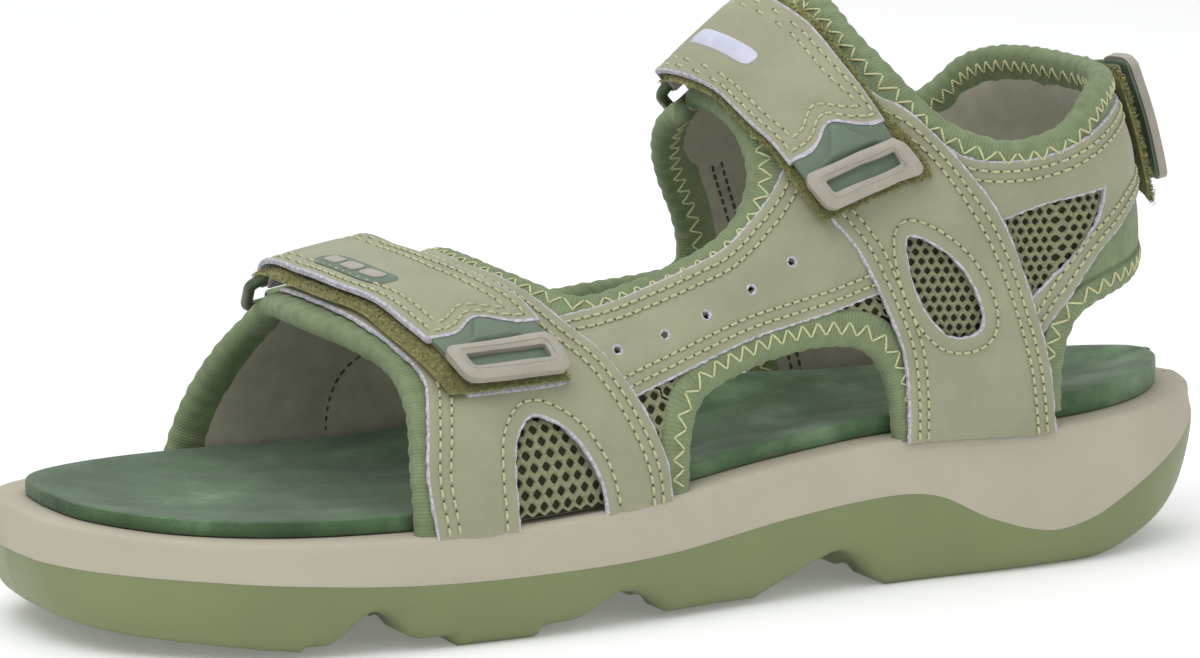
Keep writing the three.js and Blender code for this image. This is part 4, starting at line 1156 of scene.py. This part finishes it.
def notch(outline, window):
    """The outline with a window that opens through its lower edge taken out of it."""
    left, right = window[:, 0].min(), window[:, 0].max()
    low = LOW + 0.3
    dropped = (outline[:, 1] < low) & (outline[:, 0] > left + 0.4) & (outline[:, 0] < right - 0.4)
    first, last = np.nonzero(dropped)[0][[0, -1]]
    arch = window[window[:, 1] > low]
    before = outline[first - 1]
    if np.hypot(*(arch[0] - before)) > np.hypot(*(arch[-1] - before)):
        arch = arch[::-1]
    return np.concatenate([outline[:first], arch, outline[last + 1:]])


def punched(w, t):
    """The outline of a punched hole."""
    corners = [(w + PUNCH * math.cos(a), t + PUNCH * math.sin(a)) for a in np.arange(6) * math.pi / 3]
    return ring_line(corners, 0.4)


def make_side(label, wall):
    """The pieces that the upper has once on each side."""
    shape = UPPER[label]
    front, arm, quarter = (shape[f"{part}_overlay"] for part in ("front", "arm", "quarter"))
    window_row = offset(spaced(spline(FRONT_WINDOW), ROW_STEP), WINDOW_ROW)
    quarter_ring = ring_row(QUARTER_WINDOW, RING_ROW)
    panels = [
        ("front", notch(between(front), joined([FRONT_WINDOW])), [], UPPER_LEATHER,
         edge_rows(front[0], -1) + edge_rows(front[1], 1) + [window_row]),
        ("arm", between(arm), [punched(w, t) for w, t in PERFORATIONS] if label == "lateral" else [],
         LOWER_LEATHER, edge_rows(arm[0], 1, ARM_ROWS[label]) + edge_rows(arm[1], -1, ARM_ROWS[label])),
        ("quarter", between(quarter), [ring_line(QUARTER_WINDOW)], UPPER_LEATHER,
         edge_rows(quarter[0], -1) + edge_rows(quarter[1], 1) + [quarter_ring]),
        ("heel", between([HEEL_UNDER, HEEL_TOP]), [joined(HEEL_WINDOW)], LOWER_LEATHER,
         edge_rows(HEEL_UNDER, 1, HEEL_ROWS) + edge_rows(HEEL_TOP, -1, HEEL_ROWS)),
    ]
    stitches = []
    for part, outline, holes, levels, rows in panels:
        cut_sheet(f"{label}_{part}_overlay_sheet", wall, outline, holes, *levels, [LEATHER, EDGE],
                  grooved(rows), replaces=[f"{label}_{part}_overlay"], slot="synthetic_leather",
                  tucked=NO_TUCK if part == "heel" else TUCKED)
        stitches += [dashes(wall, row, levels[1]) for row in rows]
    threads(f"{label}_overlay_stitches", stitches, THREAD)
    needle_holes(f"{label}_overlay_holes", stitches, HOLE_SHADE)

    knit(f"{label}_front_knit", wall, between(shape["front_lining"]), [f"{label}_front_mesh"],
         KNIT_LIMITS["front"])
    if label == "lateral":
        knit("lateral_arm_knit", wall, between(shape["arm_lining"]), ["lateral_arm_mesh"])
    knit(f"{label}_quarter_knit", wall, between(shape["quarter_lining"]), [f"{label}_quarter_mesh"],
         KNIT_LIMITS["quarter"], FINE_PITCH)
    knit(f"{label}_heel_knit", wall, between(HEEL_KNIT), [f"{label}_heel_mesh"], pitch=FINE_PITCH)
    quilted = {"front": [window_row[3:-3]], "arm": [],
               "quarter": [quarter_ring] + edge_rows(quarter[0], -1, QUILT_OFFSETS)}
    for part, seams in quilted.items():
        padded_panel(f"{label}_{part}_padding", wall, shape[f"{part}_lining"],
                     [f"{label}_{part}_lining"], seams)

    zigzags = []
    for part, sign, how in (("front", -1, {"zigzags": False}), ("throat", -1, {}),
                            ("arch", 1, {"flank": ARCH_FLANK})):
        zigzags += binding(f"{label}_{part}_edge_binding", wall, shape[part], sign,
                           [f"{label}_{part}_binding"], **how)
    threads(f"{label}_zigzag_stitches", zigzags, ZIGZAG_THREAD, radius=ZIGZAG_RADIUS)


def make_heel():
    """The pieces that run round the back, drawn from the lateral side."""
    wall = Wall(LATERAL)
    padded_panel("heel_padding", wall, [past_back(edge) for edge in HEEL_LINING], ["heel_lining"])
    low, high = (spaced(spline(past_back(edge)), OUTLINE_STEP) for edge in HEEL_SKIRT)
    cut_sheet("heel_skirt", wall, np.concatenate([low, high[::-1]]), [], 3.0, 4.0,
              [BINDING_CLOTH, BINDING_CLOTH], slot="elastic_binding")
    zigzags = binding("collar_edge_binding", wall, past_back(COLLAR_TOP), -1, ["collar_binding"], plump=0.4)
    zigzags += binding("heel_lower_edge_binding", wall, past_back(HEEL_LOWER), 1, ["heel_lower_binding"],
                       flank=LOWER_FLANK)
    threads("heel_zigzag_stitches", zigzags, ZIGZAG_THREAD, radius=ZIGZAG_RADIUS)


# ---------- straps ----------
# A strap lies between two edge lines that run from its pull tab to the ring's bar.
RING_WIRE = 2.6
RING_LEVEL = 8.6                 # the middle of the ring's wire
RING_REACH = 9                   # from one bar of the ring to the other
RING_CORNER = 2.6
FLATTEN = (16, 5, 1.5, 8)        # near the ring the strap lies in the ring's plane instead of on the upper
RISE_LENGTH = 10
BAND = (8.35, 9.75)              # levels of the band's underside and top
BAND_START = 9.3
STRAP_ROWS = (2.0, 4.2)
HOOK_PATH = [(1.2, 7.85), (26, 7.85)]           # paths are (along the strap, level)
TAB_PATH = [(-0.8, 9.1), (14.2, 9.0)]
TAB_LENGTH = 7.2
TAB_FRAME = (9.2, 11.6)
HILL_LEVEL, HILL_HEIGHT = 9.5, 1.25             # the wave-shaped end of the tab's base
LIP_LEVEL = 11.5
ROOT_LEVEL = 6.3
PILE_LEVEL = 7.1
PILE_FOOT = 7.25
LOOP_LEVEL = 6.25                # the ring's webbing, under the ring
SLOT_SHARE = 0.74                # the slot's width in the tab, as a share of the strap's
LIFT_LENGTH = 20                 # a strap's tab end stands off over this length, by this much
LIFTS = {"front_strap": 0.4, "instep_strap": 0.4, "heel_strap": 3.2}
PILE_START = {"front_strap": -1.5, "instep_strap": -2, "heel_strap": -8}
PILE_LENGTH = {"front_strap": 0.75, "instep_strap": 0.95, "heel_strap": 1.5}
# how far the pile is wider than the strap at its front and rear edge
PILE_FRONT = {"front_strap": 3.0, "instep_strap": 1.0, "heel_strap": 0.3}
PILE_REAR = {"front_strap": 0.3, "instep_strap": 2.4, "heel_strap": 0.3}
PILE_LOOPS = 2800
# a loop of pile: (along its lean, up), for a loop of height 1
PILE_STATIONS = [(0.0, -0.2), (0.25, 0.75), (0.6, 1.0), (0.95, 0.7), (1.15, 0.1)]
PILE_WIDTH = 0.07
STRIPS = {
    "front_strap": (
        LATERAL,
        [(-54, 25.5), (-56.5, 33), (-59, 41), (-61, 50), (-65, 60), (-67, 74), (-67.5, 88)],
        [(-31, 25.5), (-32, 33), (-33.5, 42), (-38, 51), (-43, 63), (-46, 76), (-46.5, 88)]),
    "instep_strap": (
        LATERAL,
        [(33, 47.5), (30.5, 54), (28.5, 62), (26.3, 69), (25, 82), (24.5, 93)],
        [(55, 54.5), (52.5, 60.5), (48.5, 69), (45.5, 78), (44.2, 91), (43.7, 101)]),
    "heel_strap": (
        MEDIAL,
        [(137, 69), (BACK, 69), (110, 66), (86, 59)],
        [(137, 44), (BACK, 44), (110, 41), (86, 34)]),
}


def smoothstep(x, low, high):
    """0 up to low, 1 from high on, and smooth between."""
    t = np.clip((x - low) / (high - low), 0, 1)
    return t * t * (3 - 2 * t)


class Strip:
    """A strap's surface: frame(u, s), with u across from its middle and s along from its tab."""

    def __init__(self, side, first, second):
        self.side = side
        self.edges = [spaced(spline(edge, 60), 0.25) for edge in (first, second)]
        share = np.linspace(0, 1, 400)
        self.length = line_length((self.edge(0, share) + self.edge(1, share)) / 2)
        self.bar = self.at_ring(0.5)
        across = self.at_ring(1) - self.at_ring(0)
        self.width = float(np.linalg.norm(across))
        self.across = across / self.width
        onward = self.at_ring(0.5, RING_REACH) - self.bar
        onward = onward - self.across * (onward @ self.across)
        self.reach = float(np.linalg.norm(onward))
        self.onward = onward / self.reach
        self.out = np.cross(self.across, self.onward)
        self.lift = 0.0

    def raised(self, lift):
        """The same strip with its tab end standing off by some millimetres."""
        other = copy.copy(self)
        other.lift = lift
        return other

    def edge(self, which, share):
        """Points of one edge line, at shares of its length."""
        line = self.edges[which]
        at = np.clip(share, 0, 1) * (len(line) - 1)
        index = np.arange(len(line))
        return np.stack([np.interp(at, index, line[:, 0]), np.interp(at, index, line[:, 1])], -1)

    def edge_at(self, which, s):
        """Points of one edge line at distances s, carried on straight past its ends."""
        kept = np.clip(s / self.length, 0, 1)
        a, b = self.edge(which, np.maximum(kept - 0.02, 0)), self.edge(which, np.minimum(kept + 0.02, 1))
        pace = (s - kept * self.length) / np.linalg.norm(b - a, axis=-1)
        return self.edge(which, kept) + (b - a) * pace[..., None]

    def walls(self, share, s):
        """The upper's surface under the strap, at shares across it and distances along it."""
        a, b = self.edge_at(0, s), self.edge_at(1, s)
        flat = a + (b - a) * share[..., None]
        return Wall(self.side).frame(flat[..., 0], flat[..., 1])

    def at_ring(self, share, past=0):
        """A point at the ring's level, at a share across and some way past the ring's bar."""
        base, out = self.walls(np.array([float(share)]), np.array([float(self.length + past)]))
        return (base + out * RING_LEVEL)[0]

    def frame(self, u, s):
        u, s = np.broadcast_arrays(np.asarray(u, float), np.asarray(s, float))
        base, out = self.walls(u / self.width + 0.5, s)
        level = (self.bar + self.across * u[..., None] + self.onward * (s - self.length)[..., None]
                 - self.out * RING_LEVEL)
        far = self.length + self.reach
        before = smoothstep(s, self.length - FLATTEN[0], self.length - FLATTEN[1])
        after = smoothstep(s, far + FLATTEN[2], far + FLATTEN[3])
        flat = (before * (1 - after))[..., None]
        stand = self.lift * (1 - smoothstep(s, -1, LIFT_LENGTH))[..., None]
        way = out + (self.out - out) * flat
        return base + (level - base) * flat + way * stand, way


RIM_EASE = 0.45                  # width of the pale border of webbing
RIM_ROUND = 0.28
WEB_DEPTH = 0.2                  # how deep a row of stitches lies in webbing
END_REACH = 14.0                 # the shape of a webbing's end fades out over this length


def ribbon(name, strip, path, widths, thickness, materials, body, replaces, end_shape=None, step=0.8,
           bulge=0.0, rows=()):
    """Webbing along a path of (s, distance), between two places across; its rim is the raw edge."""
    path = spaced(np.array(path, float), step)
    normal = leftward(unit(np.gradient(path, axis=0)))
    low, high = widths
    count = max(int((high - low) / step), 3) + 1
    us = np.concatenate([[low, low + RIM_EASE], np.linspace(low, high, count)[1:-1], [high - RIM_EASE, high]])
    s = np.repeat(path[:, :1], len(us), 1)
    if end_shape is not None:
        s = s + end_shape(us)[None] * np.clip(1 - (s - path[0, 0]) / END_REACH, 0, 1)
    u = np.repeat(us[None], len(path), 0)
    tall = path[:, 1][:, None] + bulge * (1 - (2 * (us - low) / (high - low) - 1) ** 2)[None]
    groove = np.zeros(u.shape)
    if rows:
        gap = nearest(np.stack([u.ravel(), s.ravel()], 1), rows).reshape(u.shape)
        groove = -WEB_DEPTH * np.exp(-(gap / ROW_WIDTH) ** 2)
    rounding = np.zeros(len(us))
    rounding[[0, -1]] = RIM_ROUND

    def sheet(sign, inset, sunk):
        away = sign * (thickness / 2 - inset[None])
        at, way = strip.frame(u, s + away * normal[:, :1])
        return at + way * (tall + away * normal[:, 1:] + sunk)[..., None]

    sheets = [sheet(1, rounding, groove), sheet(-1, rounding * 0.6, 0)]
    rows_along, columns = u.shape
    top, under, walls = slab_faces(rows_along, columns)[:3]
    rim_slot = len(materials) - 1
    index = [rim_slot if i == 0 or j in (0, columns - 2) else 0
             for i in range(rows_along - 1) for j in range(columns - 1)]
    index += [rim_slot] * (len(under) + len(walls))
    lay = np.stack([s.ravel(), u.ravel(), tall.ravel()], 1)
    points = np.concatenate([part.reshape(-1, 3) for part in sheets])
    return crisp(piece(name, points, top + under + walls, materials, body, replaces,
                       np.concatenate([lay, lay]), index))


def fuzz(name, strip, spans, body, seed, height):
    """Loops of pile standing out of a tape: each span is (u0, u1, s0, s1)."""
    draw = np.random.default_rng(seed)
    areas = np.array([abs(b - a) * abs(d - c) for a, b, c, d in spans])
    pick = draw.choice(len(spans), PILE_LOOPS, p=areas / areas.sum())
    box = np.array(spans)[pick]
    u = box[:, 0] + (box[:, 1] - box[:, 0]) * draw.random(PILE_LOOPS)
    s = box[:, 2] + (box[:, 3] - box[:, 2]) * draw.random(PILE_LOOPS)
    base, out = strip.frame(u, s)
    lean = draw.normal(0, 1, (PILE_LOOPS, 3))
    lean = unit(lean - out * (lean * out).sum(1)[:, None])
    side = np.cross(out, lean) * PILE_WIDTH
    tall = (0.5 + 0.7 * draw.random(PILE_LOOPS))[:, None] * height
    points = []
    for along, up in PILE_STATIONS:
        centre = base + out * PILE_FOOT + lean * along * tall * 0.9 + out * up * tall * 0.75
        points += [centre - side, centre + side + out * 0.03]
    cloud = np.stack(points, 1).reshape(-1, 3)
    one = [[2 * k, 2 * k + 1, 2 * k + 3, 2 * k + 2] for k in range(len(PILE_STATIONS) - 1)]
    faces = repeated(one, 2 * len(PILE_STATIONS), PILE_LOOPS)
    return piece(name, cloud, faces, [PILE_CLOTH], body, outward=False)


def rounded_box(half, y0, y1, corner):
    """A closed flat line round a box with rounded corners, from -half to half and from y0 to y1."""
    points = []
    for x, y, start in [(half, y0, -90), (half, y1, 0), (-half, y1, 90), (-half, y0, 180)]:
        cx, cy = x - math.copysign(corner, x), y + (corner if y == y0 else -corner)
        for angle in np.radians(np.linspace(start, start + 90, 11)):
            points.append((cx + corner * math.cos(angle), cy + corner * math.sin(angle)))
    return spaced(np.array(points + points[:1]), 0.5)[:-1]


def make_band(name, strip, half, body):
    """The band that folds round the ring, with its double row of stitches and its hook tape."""
    end = strip.length
    level, thick = (BAND[0] + BAND[1]) / 2, BAND[1] - BAND[0]
    radius = RING_WIRE / 2 + 0.45 + thick / 2
    fold = [(end + radius * math.cos(a), RING_LEVEL + radius * math.sin(a))
            for a in np.radians(np.linspace(90, -8, 9))]
    rise = RING_LEVEL + radius - level
    climb = [(end - RISE_LENGTH * (1 - part), level + rise * smoothstep(part, 0, 0.95))
             for part in (0.15, 0.3, 0.45, 0.6, 0.8)]
    path = [(BAND_START, level), (end - RISE_LENGTH, level)] + climb + fold

    def wave(u):
        return 4.6 * np.exp(-((u - 0.6) / (half * 0.42)) ** 2) - 0.5 * np.cos(u / half * 3.1) + 0.3

    rows, shown = [], []
    for inset in STRAP_ROWS:
        start = BAND_START + inset
        long_run = np.arange(start + 1, end - 1.5, ROW_STEP)
        for u in (inset - half, half - inset):
            edge = np.stack([np.full(len(long_run), u), long_run], 1)
            rows.append(edge[long_run >= BAND_START + wave(u) + inset])
            shown.append(rows[-1][rows[-1][:, 1] < end - 3.5])
        trim = np.linspace(inset - half, half - inset, 40)
        rows.append(np.stack([trim, start + wave(trim)], 1))
        shown.append(rows[-1])
    ribbon(f"{name}_webbing", strip, path, (-half, half), thick, [LEATHER, EDGE], body,
           [f"{name}_band"], end_shape=wave, bulge=0.15, rows=rows)
    stitches = [dashes(strip, row, BAND[1] - 0.02) for row in shown]
    threads(f"{name}_stitches", stitches, THREAD, body)
    needle_holes(f"{name}_stitch_holes", stitches, HOLE_SHADE, body)
    ribbon(f"{name}_hooks", strip, HOOK_PATH, (1.2 - half, half - 1.2), 0.5, [HOOK_CLOTH], body,
           [f"{name}_hook_tape"])


def make_tab(name, strip, half, body):
    """The moulded pull tab: a base that runs out in a wave over the band, and a frame with a slot."""
    ribbon(f"{name}_rubber_base", strip, TAB_PATH, (0.9 - half, half - 0.9), 1.1, [TAB_RUBBER], body,
           [f"{name}_tab_base"], bulge=0.1)
    u, s = np.meshgrid(np.linspace(-half * 0.62, half * 0.66, 36),
                       np.linspace(TAB_LENGTH - 0.4, TAB_LENGTH + 6.6, 22))
    crest = np.exp(-((u - 0.6) / (half * 0.34)) ** 2)
    past = s - TAB_LENGTH
    level = HILL_LEVEL + HILL_HEIGHT * smoothstep(crest * 6.2 - past, -0.6, 1.2) * smoothstep(past, -0.6, 0.8)
    base, out = strip.frame(u, s)
    piece(f"{name}_rubber_hill", (base + out * level[..., None]).reshape(-1, 3), grid_faces(*u.shape),
          [TAB_RUBBER], body, outward=False)
    slot_half = half * SLOT_SHARE
    cut_sheet(f"{name}_frame", strip, rounded_box(half - 0.2, -1.1, TAB_LENGTH - 0.7, 2.0),
              [rounded_box(slot_half, 1.4, 4.4, 0.7)], *TAB_FRAME, [FRAME_RUBBER, FRAME_RUBBER], spacing=1.0,
              soft=0.5, body=body, replaces=[f"{name}_tab_frame"], slot="trim_rubber", raw=MOULDED_EDGE)
    base, out = strip.frame(*rounded_box(slot_half + 0.8, 0.6, 5.2, 1.2).T)
    tube(f"{name}_frame_lip", base + out * LIP_LEVEL, 0.25, FRAME_RUBBER, body, 8, out.mean(0))


def make_root(name, strip, half):
    """The webbing stitched to the upper, with its pile."""
    ribbon(f"{name}_tongue", strip, [(-2, ROOT_LEVEL), (strip.length - 0.8, ROOT_LEVEL)],
           (0.4 - half, half - 0.4), 0.7, [LEATHER, EDGE], SOLE_BODY, [f"{name}_root"])
    start, end = PILE_START[name], strip.length - 5
    front, rear = half + PILE_FRONT[name], half + PILE_REAR[name]
    ribbon(f"{name}_pile", strip, [(start, PILE_LEVEL), (end, PILE_LEVEL)], (-front, rear), 0.55,
           [PILE_CLOTH], SOLE_BODY, [f"{name}_pile_tape"])
    spans = [(-front - 0.1, 1.2 - half, start, end), (half - 0.8, rear + 0.1, start, end),
             (-front, rear, start - 0.3, 1.5)]
    fuzz(f"{name}_pile_loops", strip, spans, SOLE_BODY, 11 + len(name), PILE_LENGTH[name])


def make_ring(name, strip, half, body):
    """The moulded ring, between the band and the webbing that holds it."""
    bar = rounded_box(half + 1.2 + RING_WIRE / 2, 0, strip.reach, RING_CORNER)
    path = strip.bar + strip.across * bar[:, :1] + strip.onward * bar[:, 1:]
    tube(f"{name}_loop_ring", path, RING_WIRE / 2 - 0.05, RING_PLASTIC, body, 14, strip.out,
         replaces=[f"{name}_ring"])


def make_ring_loop(name, strip, half):
    """The webbing that runs from the upper round the ring's far bar and back."""
    far = strip.length + strip.reach
    radius = RING_WIRE / 2 + 0.55 + 0.35
    under = [(far + past, LOOP_LEVEL) for past in (12, 7, 2.2)]
    turn = [(far + radius * math.cos(a), RING_LEVEL + radius * math.sin(a))
            for a in np.radians(np.linspace(-90, -270, 11))]
    over = [(far + 3.5, RING_LEVEL + 1.5), (far + 7, 7.75), (far + 12, 7.3)]
    ribbon(f"{name}_ring_webbing", strip, under + turn + over, (-half * 0.76, half * 0.76), 0.8,
           [BINDING_CLOTH, BINDING_CLOTH], SOLE_BODY, [f"{name}_ring_loop"], step=0.6)
    row = np.array([(u, far + 8.5) for u in np.linspace(-half * 0.7, half * 0.7, 30)])
    threads(f"{name}_ring_stitches", [dashes(strip, row, 7.95), dashes(strip, row + (0, 2), 7.8)], THREAD)


def make_strap(name, side, first, second):
    strip = Strip(side, first, second)
    half = strip.width / 2
    flap = strip.raised(LIFTS[name])
    make_band(name, flap, half, f"{name}_body")
    make_tab(name, flap, half, f"{name}_body")
    make_ring(name, strip, half, f"{name}_ring_body")
    make_root(name, strip, half)
    make_ring_loop(name, strip, half)
    return strip


def plate(name, strip, box, middle, levels, material, body, slot, spacing=1.0, soft=0.2, raw=MOULDED_EDGE,
          replaces=(), wide=1.0):
    """A rounded plate that lies on a band, its long side along it."""
    outline = rounded_box(*box)
    placed = np.stack([middle[0] + outline[:, 1] * wide, middle[1] + outline[:, 0]], 1)
    cut_sheet(name, strip, placed, [], *levels, [material, material], spacing=spacing, soft=soft, body=body,
              replaces=replaces, slot=slot, raw=raw)


def make_badges(front, instep):
    """A plain lozenge where the front strap has its badge, and the instep strap's reflective film."""
    middle = np.array([-0.21 * front.width, 40.0])
    plate("front_strap_badge_plate", front, (10, -2.6, 2.6, 2.4), middle, (9.7, 10.25), TAB_RUBBER,
          "front_strap_body", "trim_rubber", soft=0.25, replaces=["front_strap_badge"])
    for k in range(3):
        plate(f"front_strap_badge_bar_{k + 1}", front, (2.2, -0.75, 0.75, 0.7), middle + (0, (k - 1) * 5.6),
              (10.2, 10.75), FRAME_RUBBER, "front_strap_body", "trim_rubber", spacing=0.8, wide=1.6)
    plate("instep_strap_film", instep, (7.4, -2.0, 2.0, 1.6), (-0.08 * instep.width, 38.8), (9.7, 10.2), FILM,
          "instep_strap_body", "reflective_film", soft=0.12, raw=0.08, replaces=["instep_strap_reflector"])


# ---------- camera, floor and light ----------
CAMERA_VIEW = (-26.0, 10.2, 1.366)              # azimuth, elevation, distance
CAMERA_TARGET = Vector((-0.0048, 0.0, 0.0534))
CAMERA_LENS = 195
# lamps: (name, azimuth, elevation, distance, size, power), metres and watts
LAMPS = [("key", -62, 58, 1.1, 0.9, 4.2), ("fill", 40, 30, 1.3, 1.2, 1.2), ("top", 10, 86, 1.2, 1.6, 3.4),
         ("back", 165, 48, 1.2, 1.0, 2.2)]
SKY = (0.97, 0.985, 1.0, 1)
SKY_STRENGTH = 0.58


def toward(azimuth, elevation):
    """A unit vector; azimuth 0 looks at the lateral side, elevation is above the floor."""
    a, e = math.radians(azimuth), math.radians(elevation)
    return Vector((math.sin(a) * math.cos(e), -math.cos(a) * math.cos(e), math.sin(e)))


def place(name, data, azimuth, elevation, distance):
    """A camera or lamp that looks at the target from a distance."""
    obj = bpy.data.objects.new(name, data)
    bpy.context.scene.collection.objects.link(obj)
    obj.location = CAMERA_TARGET + toward(azimuth, elevation) * distance
    obj.rotation_euler = (obj.location - CAMERA_TARGET).to_track_quat("Z", "Y").to_euler()
    return obj


def make_stage():
    scene = bpy.context.scene
    bpy.ops.mesh.primitive_plane_add(size=6, location=(0, 0, 0))
    floor = bpy.context.object
    floor.name = "floor"
    floor.data.materials.append(floor_material())
    camera = place("camera", bpy.data.cameras.new("camera"), *CAMERA_VIEW)
    camera.data.lens = CAMERA_LENS
    camera.data.clip_start = 0.01
    scene.camera = camera
    for name, azimuth, elevation, distance, size, power in LAMPS:
        light = bpy.data.lights.new(name, "AREA")
        light.shape = "DISK"
        light.size = size
        light.energy = power
        place(name, light, azimuth, elevation, distance)
    world = bpy.data.worlds.new("studio")
    world.use_nodes = True
    background = world.node_tree.nodes["Background"]
    background.inputs["Color"].default_value = SKY
    background.inputs["Strength"].default_value = SKY_STRENGTH
    scene.world = world
    scene.view_settings.view_transform = "Standard"


make_sole()
for label, side in SIDES.items():
    make_side(label, Wall(side))
make_heel()
made_strips = {name: make_strap(name, *parts) for name, parts in STRIPS.items()}
make_badges(made_strips["front_strap"], made_strips["instep_strap"])
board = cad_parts["insole_board"]
board.data.materials.clear()
board.data.materials.append(BOARD)
make_stage()
